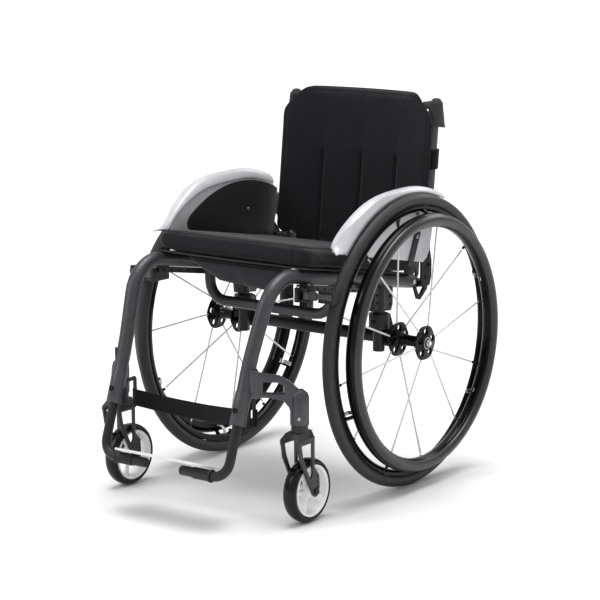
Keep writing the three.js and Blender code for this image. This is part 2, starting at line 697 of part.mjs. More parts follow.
// ---- side guards --------------------------------------------------------------------------
function guardRadius(degrees) {
  return GUARD.radius + 26 * THREE.MathUtils.smoothstep(degrees, 124, 139);
}

function guardArc(inset, from, to, count = 16) {
  return Array.from({ length: count }, (_, i) => {
    const degrees = from + ((to - from) * i) / (count - 1);
    const [y, z] = polar(guardRadius(degrees) - inset, degrees);
    return [y, TYRE_RADIUS + z];
  });
}

function sideGuard() {
  const panel = [...guardArc(1, GUARD.rear + 1, GUARD.front - 1), [-226, 497], [-214, 493], [84, 440],
    [107, 462], [118, 506], [129, 550]];
  const flange = [...guardArc(0, GUARD.rear, GUARD.front),
    ...guardArc(GUARD.skin, GUARD.rear, GUARD.front).reverse()];
  const lip = [...guardArc(0, GUARD.rear, GUARD.front),
    ...guardArc(GUARD.radius - GUARD.lip, GUARD.rear, GUARD.front).reverse()];
  return join(
    slabX(panel, GUARD.inner, GUARD.inner + GUARD.skin),
    slabX(flange, GUARD.inner, GUARD.outer),
    slabX(lip, GUARD.outer - GUARD.skin, GUARD.outer),
  );
}

function guardPanel() {
  const arc = Array.from({ length: 16 }, (_, i) => {
    const [y, z] = polar(288, 64.5 + (61.5 * i) / 15);
    return [y, TYRE_RADIUS + z];
  });
  const outline = [...arc, [-177, 516], [-174, 505], [-166, 500], [96, 452], [107, 458], [120, 500]];
  return slabX(outline, GUARD.inner - GAP - 1.6, GUARD.inner - GAP);
}

// ---- wheel locks --------------------------------------------------------------------------
function lockBase() {
  const spine = block(175.2, 183, LOCK.y - 16, LOCK.y + 34, LOCK.low - 5, LOCK.high + 7);
  const lug = (z0, z1) => block(182, LOCK.x + 8, LOCK.y - 9, LOCK.y + 9, z0, z1);
  const lugs = [lug(LOCK.low - 5, LOCK.low - GAP), lug(LOCK.high + GAP, LOCK.high + 6)];
  const pin = rod(vec(LOCK.x, LOCK.y, LOCK.low - 3), vec(LOCK.x, LOCK.y, LOCK.high + 5), LOCK.pin, 14);
  const pad = block(182, 190, LOCK.y + 14, LOCK.y + 32, LOCK.low - 1, LOCK.high + 2);
  return join(spine, ...lugs, pin, pad).subtract(sideTubeTool);
}

function lockArm() {
  const eye = rod(vec(LOCK.x, LOCK.y, LOCK.low), vec(LOCK.x, LOCK.y, LOCK.high), 8, 20);
  const bar = block(LOCK.x, 216, LOCK.y - 4, LOCK.y + 3, LOCK.low, LOCK.high);
  const bore = rod(vec(LOCK.x, LOCK.y, 400), vec(LOCK.x, LOCK.y, 460), LOCK.pin + 0.4, 16);
  const tongue = block(213, 250, LOCK.y - 1, LOCK.y + 3, LOCK.low + 3, LOCK.high - 3);
  return join(eye, bar, tongue).subtract(bore);
}

function lockShoe() {
  const faceLow = -273.8;
  const faceHigh = -263.2;
  const front = LOCK.y + 3 + GAP;
  const body = slabX([[front, 416], [faceLow, 416], [faceHigh, 438], [front, 440]], 217, 252);
  const grooves = Array.from({ length: 6 }, (_, i) =>
    block(220 + i * 5.2, 221.8 + i * 5.2, front - 1, front + 3, 410, 445));
  return grooves.reduce((left, groove) => left.subtract(groove), body);
}

// ---- assembly -----------------------------------------------------------------------------
const chair = new THREE.Group();

function add(name, solid, material, parent = chair) {
  const mesh = new THREE.Mesh(toGeometry(solid), material);
  mesh.name = name;
  parent.add(mesh);
}

// Builds the right-hand piece and its mirror image, in groups placed at (+x, y, z) and (-x, y, z).
function addPair(name, solid, material, place = vec(0, 0, 0)) {
  [['R', 1], ['L', -1]].forEach(([side, sign]) => {
    const group = new THREE.Group();
    group.position.set(sign * place.x, place.y, place.z);
    add(`${name}_${side}`, sign > 0 ? solid : mirrorSolid(solid), material, group);
    chair.add(group);
  });
}

addPair('side_frame', sideFrame(), anthracite);
add('front_cross_tube', frontCrossTube(), anthracite);
add('axle_tube', axleTube(), blackMetal);
addPair('drop_tube', dropTube(), anthracite);
addPair('axle_clamp', axleClamp(), blackMetal);
addPair('accessory_rail', accessoryRail(), blackMetal);
addPair('castor_arm', castorArm(), anthracite);
addPair('castor_fork', castorFork(), anthracite);
addPair('castor_axle', castorAxle(), blackMetal);

const castorPlace = vec(CASTOR.x, CASTOR.y, CASTOR.radius);
addPair('castor_tyre', castorTyre(), tyreRubber, castorPlace);
addPair('castor_rim', castorRim(), whitePlastic, castorPlace);

const wheelPlace = vec(WHEEL_X, 0, TYRE_RADIUS);
addPair('tyre', tyre(), tyreRubber, wheelPlace);
addPair('rim', rim(), blackMetal, wheelPlace);
addPair('hub', hubWithSpokes(), steel, wheelPlace);
chair.getObjectByName('hub_L').rotation.x = THREE.MathUtils.degToRad(PARKED_TURN);
addPair('handrim', handrim(), anthracite, wheelPlace);
addPair('axle_pin', axlePin(), steel, wheelPlace);

addPair('foot_tube', footTube(), blackMetal);
addPair('foot_sleeve', footSleeve(), blackPlastic);
add('footplate', footplate(), lightPlate);
add('calf_strap', calfStrap(), webbing);
addPair('strap_loop', strapLoop(), blackPlastic);

add('seat_sling', seatSling(), nylon);
add('seat_cushion', seatCushion(), padFabric);
add('seat_pouch', seatPouch(), nylon);

addPair('back_post', backPost(), anthracite);
addPair('back_hinge', backHinge(), blackMetal);
add('back_pad', backPad(), padFabric);
addPair('post_cap', postCap(), nylon);
addPair('post_strap', postStrap(), webbing);

addPair('side_guard', sideGuard(), silverShell);
addPair('guard_panel', guardPanel(), carbon);
addPair('lock_base', lockBase(), blackMetal);
addPair('lock_arm', lockArm(), anthracite);
addPair('lock_shoe', lockShoe(), blackPlastic);

// The stored origin is the middle of the chair's footprint on the floor.
const footprint = new THREE.Box3().setFromObject(chair, true);
chair.position.set(0, -(footprint.min.y + footprint.max.y) / 2, 0);

export default chair;
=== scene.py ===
"""Looks for a rigid-frame manual wheelchair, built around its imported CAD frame.

Metres, +Z up, and the chair faces -Y. Places on the chair are written in millimetres from the floor
under the middle of the rear axle, and at() turns them into metres."""
import math

import bmesh
import bpy
import numpy as np
from mathutils import Matrix, Vector, noise


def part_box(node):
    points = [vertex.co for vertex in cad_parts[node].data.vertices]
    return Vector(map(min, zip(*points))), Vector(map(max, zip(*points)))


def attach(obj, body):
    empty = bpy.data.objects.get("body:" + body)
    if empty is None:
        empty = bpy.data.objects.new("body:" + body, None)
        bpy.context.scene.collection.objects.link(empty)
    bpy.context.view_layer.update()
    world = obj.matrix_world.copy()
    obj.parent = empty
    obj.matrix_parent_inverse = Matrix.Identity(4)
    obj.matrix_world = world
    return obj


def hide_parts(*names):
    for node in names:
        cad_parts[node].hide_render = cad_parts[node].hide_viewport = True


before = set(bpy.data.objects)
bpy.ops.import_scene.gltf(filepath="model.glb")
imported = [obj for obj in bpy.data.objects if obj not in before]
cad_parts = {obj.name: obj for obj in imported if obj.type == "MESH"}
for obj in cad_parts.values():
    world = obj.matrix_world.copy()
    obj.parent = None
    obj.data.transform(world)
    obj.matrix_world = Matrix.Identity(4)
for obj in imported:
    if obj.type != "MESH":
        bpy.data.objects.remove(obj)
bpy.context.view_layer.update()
SCENE = bpy.context.scene
TAU = 2 * math.pi
SHARP = math.radians(38)  # edges that turn by more than this stay crisp


def middle(node):
    lo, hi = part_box(node)
    return (lo + hi) / 2


WHEEL_X, AXLE_Y, AXLE_Z = middle("tyre_R")  # centre of the right rear wheel
CASTOR = middle("castor_tyre_R")
SIDES = (("R", 1, "right"), ("L", -1, "left"))

# Frame sizes that several pieces share
AXLE_HEIGHT = 295
RAIL_X, RAIL_R = 172, 14.5  # seat rail, which drops towards the rear
RAIL_HEIGHT, RAIL_SLOPE = 411.9, 0.1686
HINGE_X = 193.4  # outer face of the back hinge
STEM_X, STEM_Y = 223.6, -362  # castor stem
LEAN = 0.11  # the back leans by this much for each unit of height


def at(x, y, z):
    """A point given in millimetres from the floor under the rear axle."""
    return Vector((x / 1000, y / 1000 + AXLE_Y, z / 1000))


def rail_mid(y):
    """Height of the seat rail's centre line at a distance behind the axle."""
    return RAIL_HEIGHT - RAIL_SLOPE * y


def rail_top(y):
    return rail_mid(y) + RAIL_R


def ramp(a, b, x):
    """0 at a and 1 at b, in a straight line."""
    return max(0.0, min(1.0, (x - a) / (b - a)))


def ease(a, b, x):
    """0 at a and 1 at b, easing in and out."""
    t = ramp(a, b, x)
    return t * t * (3 - 2 * t)


# ---- camera, floor and light ----
def camera():
    az, el, roll = (math.radians(deg) for deg in (36.71, 10.927, -0.037))
    distance, sideways, height = 4.486, 0.0363, 0.3516
    back = Vector((math.sin(az) * math.cos(el), -math.cos(az) * math.cos(el), math.sin(el)))
    right = Vector((math.cos(az), math.sin(az), 0))
    up = back.cross(right)
    target = Vector((0, AXLE_Y, height)) - sideways * right
    right, up = (right * math.cos(roll) + up * math.sin(roll), up * math.cos(roll) - right * math.sin(roll))
    data = bpy.data.cameras.new("camera")
    data.sensor_width = 36
    data.lens = 130.68
    data.clip_end = 60
    cam = bpy.data.objects.new("camera", data)
    SCENE.collection.objects.link(cam)
    turn = Matrix((right, up, back)).transposed().to_4x4()
    cam.matrix_world = Matrix.Translation(target + back * distance) @ turn
    SCENE.camera = cam


def add_light(kind, name, power, where, aim):
    data = bpy.data.lights.new(name, kind)
    data.energy = power
    light = bpy.data.objects.new(name, data)
    SCENE.collection.objects.link(light)
    light.location = where
    light.rotation_euler = (Vector(aim) - Vector(where)).to_track_quat("-Z", "Y").to_euler()
    return data


def studio():
    """A white floor under an even sky and a wide overhead sun, with three soft boxes."""
    SCENE.view_settings.view_transform = "Standard"
    world = bpy.data.worlds.new("studio")
    SCENE.world = world
    world.use_nodes = True
    sky = world.node_tree.nodes["Background"]
    sky.inputs["Color"].default_value = (1, 1, 1, 1)
    sky.inputs["Strength"].default_value = 0.66
    bm = bmesh.new()
    bmesh.ops.create_circle(bm, cap_ends=True, segments=96, radius=40)
    finish_mesh("floor", bm, ["floor"])
    sun = add_light("SUN", "sun", 2.6, (0, 0, 0), (0.02, -0.1, -1))
    sun.angle = math.radians(42)
    for name, power, where, size in (("key", 26, (-1.6, -2.6, 2.3), (0.8, 1.6)),
                                     ("side", 3, (2.8, -0.6, 1.9), (0.8, 2.0)),
                                     ("rim", 14, (0.4, 2.6, 2.0), (2.4, 0.8))):
        box = add_light("AREA", name, power, where, (0, 0, 0.4))
        box.shape = "RECTANGLE"
        box.size, box.size_y = size


# ---- materials ----
class Finish:
    """A material with its shader, and the coordinates that its patterns follow."""

    def __init__(self, name, rough, metal=0.0, **sockets):
        self.material = bpy.data.materials.new(name)
        self.material.use_nodes = True
        self.tree = self.material.node_tree
        self.shader = self.tree.nodes["Principled BSDF"]
        for key, value in {"Roughness": rough, "Metallic": metal, **sockets}.items():
            self.feed(self.shader, key, value)
        self.coords = self.node("ShaderNodeTexCoord").outputs["Object"]

    def feed(self, node, key, value):
        """Sets a node's input, or links it where the value is another node's output."""
        socket = node.inputs[key.replace("_", " ") if isinstance(key, str) else key]
        if isinstance(value, bpy.types.NodeSocket):
            self.tree.links.new(value, socket)
        else:
            socket.default_value = value

    def node(self, kind, **inputs):
        n = self.tree.nodes.new(kind)
        for key, value in inputs.items():
            self.feed(n, key, value)
        return n

    def calc(self, op, a, b=None):
        n = self.node("ShaderNodeMath")
        n.operation = op
        self.feed(n, 0, a)
        if b is not None:
            self.feed(n, 1, b)
        return n.outputs[0]

    def mix(self, factor, a, b):
        n = self.node("ShaderNodeMix")
        n.data_type = "RGBA"
        for key, value in ((0, factor), (6, a), (7, b)):
            self.feed(n, key, (*value, 1) if isinstance(value, tuple) else value)
        return n.outputs[2]

    def noise(self, scale, detail=3.0):
        """Noise stretched so that its usual range runs from 0 to 1."""
        tex = self.node("ShaderNodeTexNoise", Scale=scale, Detail=detail, Vector=self.coords)
        return self.node("ShaderNodeMapRange", From_Min=0.3, From_Max=0.7, Value=tex.outputs[0]).outputs[0]

    def stripes(self, direction, period):
        """A sine ridge repeated along a direction, from 0 to 1."""
        dot = self.node("ShaderNodeVectorMath")
        dot.operation = "DOT_PRODUCT"
        self.feed(dot, 0, self.coords)
        self.feed(dot, 1, Vector(direction).normalized() * (TAU / period))
        wave = self.calc("SINE", dot.outputs["Value"])
        return self.calc("ADD", self.calc("MULTIPLY", wave, 0.5), 0.5)

    def threads(self, directions, period, cross_period, share):
        """Ridges along one direction, with a softer set across them."""
        ridge = self.stripes(directions[0], period)
        cross = self.calc("MULTIPLY", self.stripes(directions[1], cross_period), share)
        return self.calc("MULTIPLY", ridge, self.calc("ADD", cross, 1 - share))

    def bump(self, height, distance):
        """Adds relief on top of any that is there."""
        n = self.node("ShaderNodeBump", Height=height, Distance=distance)
        old = self.shader.inputs["Normal"].links
        if old:
            self.feed(n, "Normal", old[0].from_socket)
        self.feed(self.shader, "Normal", n.outputs[0])

    def vary(self, color, amount, scale, rough=None):
        """Base colour, and roughness where given, drift a little over the surface."""
        dark, light = (tuple(min(1, c * k) for c in color) for k in (1 - amount, 1 + amount))
        self.feed(self.shader, "Base Color", self.mix(self.noise(scale), dark, light))
        if rough:
            fine = self.calc("MULTIPLY", self.noise(scale * 4), rough[1] - rough[0])
            self.feed(self.shader, "Roughness", self.calc("ADD", fine, rough[0]))

    def wear(self, color):
        """Paint lightens a little on its convex edges."""
        point = self.node("ShaderNodeNewGeometry").outputs["Pointiness"]
        edge = self.node("ShaderNodeMapRange", From_Min=0.53, From_Max=0.62, Value=point).outputs[0]
        factor = self.calc("MULTIPLY", self.calc("MULTIPLY", edge, self.noise(220)), 0.35)
        base = self.shader.inputs["Base Color"].links[0].from_socket
        self.feed(self.shader, "Base Color", self.mix(factor, base, color))


def paint(name, color, rough, metal, gloss=0.5):
    """Powder coat with a fine grain."""
    f = Finish(name, rough[0], metal, Specular_IOR_Level=gloss)
    f.vary(color, 0.1, 60, rough)
    f.wear(tuple(min(1, c * 2.6 + 0.02) for c in color))
    f.bump(f.noise(1900, 1.0), 0.00004)
    return f.material


def moulded(name, color, rough, grain=0.00003, scale=1500, gloss=0.5, **sockets):
    """Plastic, rubber or lacquer with a grain of the given depth and scale."""
    f = Finish(name, rough[0], Specular_IOR_Level=gloss, **sockets)
    f.vary(color, 0.08, 40, rough)
    f.bump(f.noise(scale, 2.0), grain)
    return f.material


def bare_metal(name, color, rough):
    f = Finish(name, rough, 1.0)
    f.vary(color, 0.12, 25)
    f.bump(f.noise(700, 2.0), 0.000015)
    return f.material


def twill(name, color, period, depth, directions, sheen, thread=0.5, rough=0.9):
    """Woven cloth: crossing ridges, a softer grid of threads between them, and a little mottling."""
    f = Finish(name, rough, Sheen_Weight=sheen, Sheen_Roughness=0.45, Specular_IOR_Level=0.12)
    weave = f.threads(directions, period, period * thread, 0.5)
    dark, light = (tuple(c * k for c in color) for k in (0.4, 2.4))
    patch = f.calc("MULTIPLY", f.noise(14), 0.25)
    f.feed(f.shader, "Base Color", f.mix(patch, f.mix(weave, dark, light), dark))
    f.bump(weave, depth)
    f.bump(f.noise(900, 2.0), depth * 0.3)
    return f.material


def carbon():
    f = Finish("carbon_twill", 0.5, Specular_IOR_Level=0.3)
    weave = f.threads(((0, 1, 1), (0, 1, -0.2)), 0.0052, 0.0013, 0.4)
    f.feed(f.shader, "Base Color", f.mix(weave, (0.013, 0.0135, 0.013), (0.027, 0.028, 0.0265)))
    f.bump(weave, 0.00012)
    return f.material


def floor_paint():
    f = Finish("floor_paint", 0.75)
    f.vary((0.80, 0.80, 0.805), 0.01, 2)
    return f.material


M = {}


def make_materials():
    M["frame"] = paint("frame_powder_coat", (0.058, 0.056, 0.063), (0.34, 0.46), 0.6)
    M["fork"] = paint("fork_powder_coat", (0.030, 0.029, 0.033), (0.32, 0.44), 0.4)
    M["black"] = paint("black_powder_coat", (0.009, 0.009, 0.010), (0.34, 0.5), 0.1, 0.35)
    M["gloss"] = moulded("gloss_black_lacquer", (0.0026, 0.0026, 0.0032), (0.12, 0.18), 0.000004, 300, 0.16)
    M["handrim"] = moulded("handrim_coating", (0.0165, 0.016, 0.0185), (0.25, 0.33), 0.000003, 300, 0.5)
    M["steel"] = bare_metal("stainless_steel", (0.50, 0.50, 0.48), 0.3)
    M["spoke"] = moulded("spoke_fibre", (0.72, 0.71, 0.67), (0.32, 0.42), 0.00001, 900)
    M["zinc"] = bare_metal("bright_zinc", (0.70, 0.70, 0.69), 0.25)
    M["shell"] = moulded("silver_shell_lacquer", (0.51, 0.51, 0.535), (0.30, 0.36), 0.000003, 300,
                         Coat_Weight=0.3, Coat_Roughness=0.15)
    M["tyre"] = moulded("tyre_rubber", (0.0175, 0.0168, 0.0195), (0.42, 0.56), 0.00006, 1100, 0.42)
    M["castor_tyre"] = moulded("castor_rubber", (0.0032, 0.0032, 0.0037), (0.16, 0.24), 0.00001, 300, 0.24)
    M["plastic"] = moulded("black_nylon_moulding", (0.009, 0.009, 0.010), (0.42, 0.56), gloss=0.35)
    M["white"] = moulded("white_moulding", (0.80, 0.80, 0.81), (0.34, 0.44), 0.00001)
    M["plate"] = moulded("footplate_laminate", (0.66, 0.66, 0.65), (0.36, 0.5), 0.00004, 700)
    M["pad"] = twill("back_pad_twill", (0.0112, 0.0108, 0.0136), 0.0046, 0.00032,
                     ((1, 0, 1), (1, 0, -1)), 0.14)
    M["knit"] = twill("cushion_knit", (0.0124, 0.0120, 0.0148), 0.0042, 0.0003,
                      ((1, 0.6, 0.8), (1, -0.6, -0.8)), 0.2, 1.0)
    M["cover"] = twill("cushion_cover", (0.0124, 0.0120, 0.0148), 0.0022, 0.00016,
                       ((1, 1, 1), (1, -1, 0)), 0.18)
    M["nylon"] = twill("pouch_nylon", (0.0225, 0.0215, 0.0255), 0.0012, 0.00007,
                       ((1, 0, 0), (0, 1, 1)), 0.12, 1.0, 0.62)
    M["cap"] = twill("cap_leathercloth", (0.026, 0.0245, 0.028), 0.0016, 0.00008,
                     ((1, 1, 0), (0, 0.3, 1)), 0.12, 1.0, 0.5)
    M["webbing"] = twill("strap_webbing", (0.0065, 0.0063, 0.0065), 0.0016, 0.0003,
                         ((1, 0.2, 0.35), (0, 0, 1)), 0.12)
    M["thread"] = twill("seam_thread", (0.014, 0.014, 0.016), 0.0012, 0.0002,
                        ((0, 0, 1), (1, 0, 0)), 0.1)
    M["carbon"] = carbon()
    M["floor"] = floor_paint()


# ---- mesh helpers ----
def finish_mesh(name, bm, finishes):
    """The piece, with a slot for each of the named finishes."""
    bmesh.ops.recalc_face_normals(bm, faces=bm.faces)
    for f in bm.faces:
        f.smooth = True
    mesh = bpy.data.meshes.new(name)
    bm.to_mesh(mesh)
    bm.free()
    for finish in finishes:
        mesh.materials.append(M[finish])
    obj = bpy.data.objects.new(name, mesh)
    SCENE.collection.objects.link(obj)
    return obj


def modify(obj, kind, **settings):
    mod = obj.modifiers.new(kind.lower(), kind)
    for key, value in settings.items():
        setattr(mod, key, value)
    return mod


def apply_all(obj):
    """Turns the piece with its modifiers into a plain mesh."""
    graph = bpy.context.evaluated_depsgraph_get()
    mesh = bpy.data.meshes.new_from_object(obj.evaluated_get(graph))
    obj.modifiers.clear()
    obj.data = mesh
    return obj


def smoothing_group():
    """Smooth shading, with the edges that turn by more than SHARP left crisp."""
    group = bpy.data.node_groups.new("smooth_by_angle", "GeometryNodeTree")
    group.interface.new_socket("Geometry", in_out="INPUT", socket_type="NodeSocketGeometry")
    group.interface.new_socket("Geometry", in_out="OUTPUT", socket_type="NodeSocketGeometry")
    add = group.nodes.new
    enter, leave = add("NodeGroupInput"), add("NodeGroupOutput")
    drop = add("GeometryNodeRemoveAttribute")
    drop.inputs["Name"].default_value = "custom_normal"
    faces, edges = add("GeometryNodeSetShadeSmooth"), add("GeometryNodeSetShadeSmooth")
    edges.domain = "EDGE"
    angle, test = add("GeometryNodeInputMeshEdgeAngle"), add("FunctionNodeCompare")
    test.operation = "LESS_THAN"
    test.inputs["B"].default_value = SHARP
    link = group.links.new
    link(enter.outputs[0], drop.inputs["Geometry"])
    link(drop.outputs[0], faces.inputs["Geometry"])
    link(faces.outputs[0], edges.inputs["Geometry"])
    link(angle.outputs["Unsigned Angle"], test.inputs["A"])
    link(test.outputs[0], edges.inputs["Shade Smooth"])
    link(edges.outputs[0], leave.inputs[0])
    return group


def smooth(obj, bevel=0.0, angle=SHARP):
    """Crisp edges softened, where a bevel is given, and smooth rounds."""
    if bevel:
        modify(obj, "BEVEL", width=bevel, segments=2, limit_method="ANGLE", angle_limit=angle)
    modify(obj, "NODES").node_group = SMOOTH
    return obj


def subdivide(obj):
    modify(obj, "SUBSURF", levels=1, render_levels=1)


def dress(node, finish, bevel):
    """A CAD node keeps its mesh and gets a finish, softened edges and smooth rounds."""
    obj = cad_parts[node]
    obj.data.materials.clear()
    obj.data.materials.append(M[finish])
    modify(obj, "WELD", merge_threshold=0.00002)
    smooth(obj, bevel)


def place(obj, body, node=None):
    """The piece rides a body and stands in for the CAD node, where one is named."""
    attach(obj, body)
    if node:
        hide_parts(node)


def loop_faces(bm, rings, closed_ring=True, closed_path=False):
    """Skins rings of vertices, one after another."""
    total = len(rings)
    for i in range(total if closed_path else total - 1):
        a, b = rings[i], rings[(i + 1) % total]
        n = len(a)
        for j in range(n if closed_ring else n - 1):
            k = (j + 1) % n
            bm.faces.new((a[j], a[k], b[k], b[j]))


def close_ends(bm, rings):
    bm.faces.new(rings[0])
    bm.faces.new(list(reversed(rings[-1])))


def skin(name, rows, finishes, closed=True, looped=False, capped=False):
    """A mesh through rows of points: closed rows go all the way round, looped ones meet end to end."""
    bm = bmesh.new()
    rings = [[bm.verts.new(p) for p in row] for row in rows]
    loop_faces(bm, rings, closed, looped)
    if capped:
        close_ends(bm, rings)
    return finish_mesh(name, bm, finishes)


def revolve(name, profile, centre, finishes, steps=96, axis="X", radius_at=None):
    """A closed profile of (radius, along) in millimetres, turned about an axis through the centre."""
    rings = []
    for i in range(steps):
        angle = TAU * i / steps
        ring = []
        for r, a in profile:
            if radius_at:
                r = radius_at(r, angle)
            u, v = r * math.cos(angle) / 1000, r * math.sin(angle) / 1000
            p = (a / 1000, u, v) if axis == "X" else (u, v, a / 1000)
            ring.append(Vector(p) + centre)
        rings.append(ring)
    return skin(name, rings, finishes, looped=True)


def solid_turned(name, profile, start_at, direction, finishes, steps=24, hexagon=0.0):
    """A turned solid: its profile of (radius, along) starts and ends on the axis, and rings with a
    radius under the hexagon's are six-sided."""
    bm = bmesh.new()
    turn = Vector(direction).normalized().to_track_quat("Z", "Y").to_matrix()
    rings, poles = [], []
    for r, a in profile:
        if r == 0:
            poles.append(bm.verts.new(start_at + turn @ Vector((0, 0, a / 1000))))
            continue
        ring = []
        for i in range(steps):
            angle = TAU * i / steps
            reach = r / math.cos((angle % (TAU / 6)) - TAU / 12) if r < hexagon else r
            p = Vector((reach * math.cos(angle), reach * math.sin(angle), a)) / 1000
            ring.append(bm.verts.new(start_at + turn @ p))
        rings.append(ring)
    loop_faces(bm, rings)
    for ring, pole in ((rings[0], poles[0]), (rings[-1], poles[-1])):
        for j in range(steps):
            bm.faces.new((ring[j], ring[(j + 1) % steps], pole))
    return finish_mesh(name, bm, finishes)


def screw(name, where, direction, r, body, finish, h):
    """A cap screw's head of radius r and height h, with a hexagon socket, standing on the point."""
    profile = [(0, -1.0), (r * 0.9, -1.0), (r, -0.4), (r, h - 0.6), (r - 0.5, h), (r * 0.58, h),
               (r * 0.5, h - 0.3), (r * 0.5, h - 1.6), (0, h - 1.6)]
    head = solid_turned(name, profile, where, direction, [finish], 24, r * 0.55)
    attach(smooth(head), body)


def tube(name, points, radius, finishes, body=None, sides=12, closed=False, flat=1.0):
    """A round or flattened bar along points, capped unless closed."""
    rings = []
    count = len(points)
    side = None
    for i, p in enumerate(points):
        before = points[i - 1] if i or closed else p
        after = points[(i + 1) % count] if i < count - 1 or closed else p
        ahead = (after - before).normalized()
        if side is None:
            side = ahead.orthogonal().normalized()
        side = (side - ahead * side.dot(ahead)).normalized()
        up = ahead.cross(side)
        r = radius(i / (count - 1)) if callable(radius) else radius
        ring = []
        for j in range(sides):
            a = TAU * j / sides
            ring.append(p + (side * math.cos(a) + up * (flat * math.sin(a))) * (r / 1000))
        rings.append(ring)
    obj = smooth(skin(name, rings, finishes, looped=closed, capped=not closed))
    if body:
        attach(obj, body)
    return obj


# ---- rear wheels ----
TYRE_MID, TYRE_R = 282.5, 12.5
RIM_BED, RIM_TOP = 259.0, 272.3
HANDRIM_MID, HANDRIM_OUT = 246.0, 32.6
HANDRIM_DEEP, HANDRIM_WIDE = 14.2, 16.7  # half sizes of the bar's section
HANDRIM_CLIPS = 6
SPOKES, SPOKE_FOOT = 12, 31
FLANGE = 34  # half the distance between the hub's flanges


def tyre_profile():
    """Round shoulders, a pair of rain grooves each side of the tread and a bead line by the rim."""
    points = []
    for i in range(61):
        deg = -140 + 280 * i / 60
        r = TYRE_R
        if 17 < abs(deg) < 24 or 38 < abs(deg) < 44:
            r -= 0.7
        if 108 < abs(deg) < 114:
            r -= 0.5
        a = math.radians(deg)
        points.append((TYRE_MID + r * math.cos(a), r * math.sin(a)))
    return points


def mirrored(middle_r, *half):
    """A profile of (radius, along) from half of it and the radius on its mirror line."""
    return [(r, -x) for r, x in reversed(half)] + [(middle_r, 0), *half]


def rim_profile():
    """A rounded bed inside and flat sides."""
    return mirrored(RIM_BED, (RIM_BED + 0.3, 5.5), (RIM_BED + 2.2, 8.2), (262.5, 9.4),
                    (RIM_TOP - 0.8, 10.4), (RIM_TOP, 10))


def handrim_profile(sign):
    """Full rounded bar with a joint line where its two shells meet."""
    points = []
    for i in range(40):
        a = TAU * i / 40
        dent = 1.6 if i in (4, 16) else 0
        points.append((HANDRIM_MID + (HANDRIM_DEEP - dent) * math.cos(a),
                       sign * (HANDRIM_OUT + (HANDRIM_WIDE - dent) * math.sin(a))))
    return points


def two_tone(ring, centre, sign):
    """The inboard shell is lacquered and the outboard one, past the joint line, is satin."""
    for face in ring.data.polygons:
        along = sign * (face.center.x - centre.x) * 1000 - HANDRIM_OUT
        face.material_index = int(along > 9.6)


def on_wheel(centre, sign, r, deg, along):
    """A point on the wheel: radius and distance outboard in millimetres, angle from the rear upwards."""
    a = math.radians(deg)
    return centre + Vector((sign * along, r * math.cos(a), r * math.sin(a))) / 1000


def wheel(side, sign, word):
    body = f"wheel_{word}"
    centre = Vector((sign * WHEEL_X, AXLE_Y, AXLE_Z))
    tread = revolve(f"tyre_{side}_tread", tyre_profile(), centre, ["tyre"], 128)
    place(tread, body, f"tyre_{side}")
    rim = revolve(f"rim_{side}_lacquered", rim_profile(), centre, ["gloss"], 128)
    place(rim, body, f"rim_{side}")
    ring = revolve(f"handrim_{side}_ring", handrim_profile(sign), centre, ["gloss", "handrim"], 128)
    two_tone(ring, centre, sign)
    place(ring, body, f"handrim_{side}")
    for i in range(HANDRIM_CLIPS):
        deg = 25 + 360 / HANDRIM_CLIPS * i
        p = [on_wheel(centre, sign, r, deg, x) for r, x in ((264, 7), (262, 14), (256, 19), (250, 23))]
        tube(f"handrim_{side}_tab_{i}", p, 4.2, ["gloss"], body, 12, flat=0.7)
        clip_plate(f"handrim_{side}_clip_{i}", centre, sign, deg, body)
    hub(side, sign, body, centre)
    spokes(side, sign, body, centre)
    valve_at = 102 if sign > 0 else 62
    valve = [on_wheel(centre, sign, r, valve_at, 0) for r in (260, 250, 240, 229)]
    tube(f"valve_{side}", valve, lambda t: 3.4 - 0.8 * (t > 0.5), ["plastic"], body, 16)


def clip_plate(name, centre, sign, deg, body):
    """A small bent steel clip that holds the hand rim to the rim, with its screw."""
    profile = ((258.4, -4), (252.0, -1), (245.5, 3), (243.5, 10), (243.5, 18), (238, 24), (232.6, 30))
    across = (-4.4, -3.6, 3.6, 4.4)
    rows = [[on_wheel(centre, sign, r, deg + w / r * 57.3, x) for w in across] for r, x in profile]
    obj = skin(name, rows, ["steel"], False)
    modify(obj, "SOLIDIFY", thickness=0.0016, offset=-1)
    modify(obj, "BEVEL", width=0.0005, segments=2)
    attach(smooth(obj), body)
    a = math.radians(deg)
    inward = Vector((0, -math.cos(a), -math.sin(a)))
    screw(f"{name}_screw", on_wheel(centre, sign, 242.6, deg, 13), inward, 3.4, body, "black", 2.0)


def flange_radius(r, angle):
    """The flange's edge bulges where each of its spokes is hooked in."""
    return r + 0.8 * math.cos(angle * SPOKES / 2) if r > 30 else r


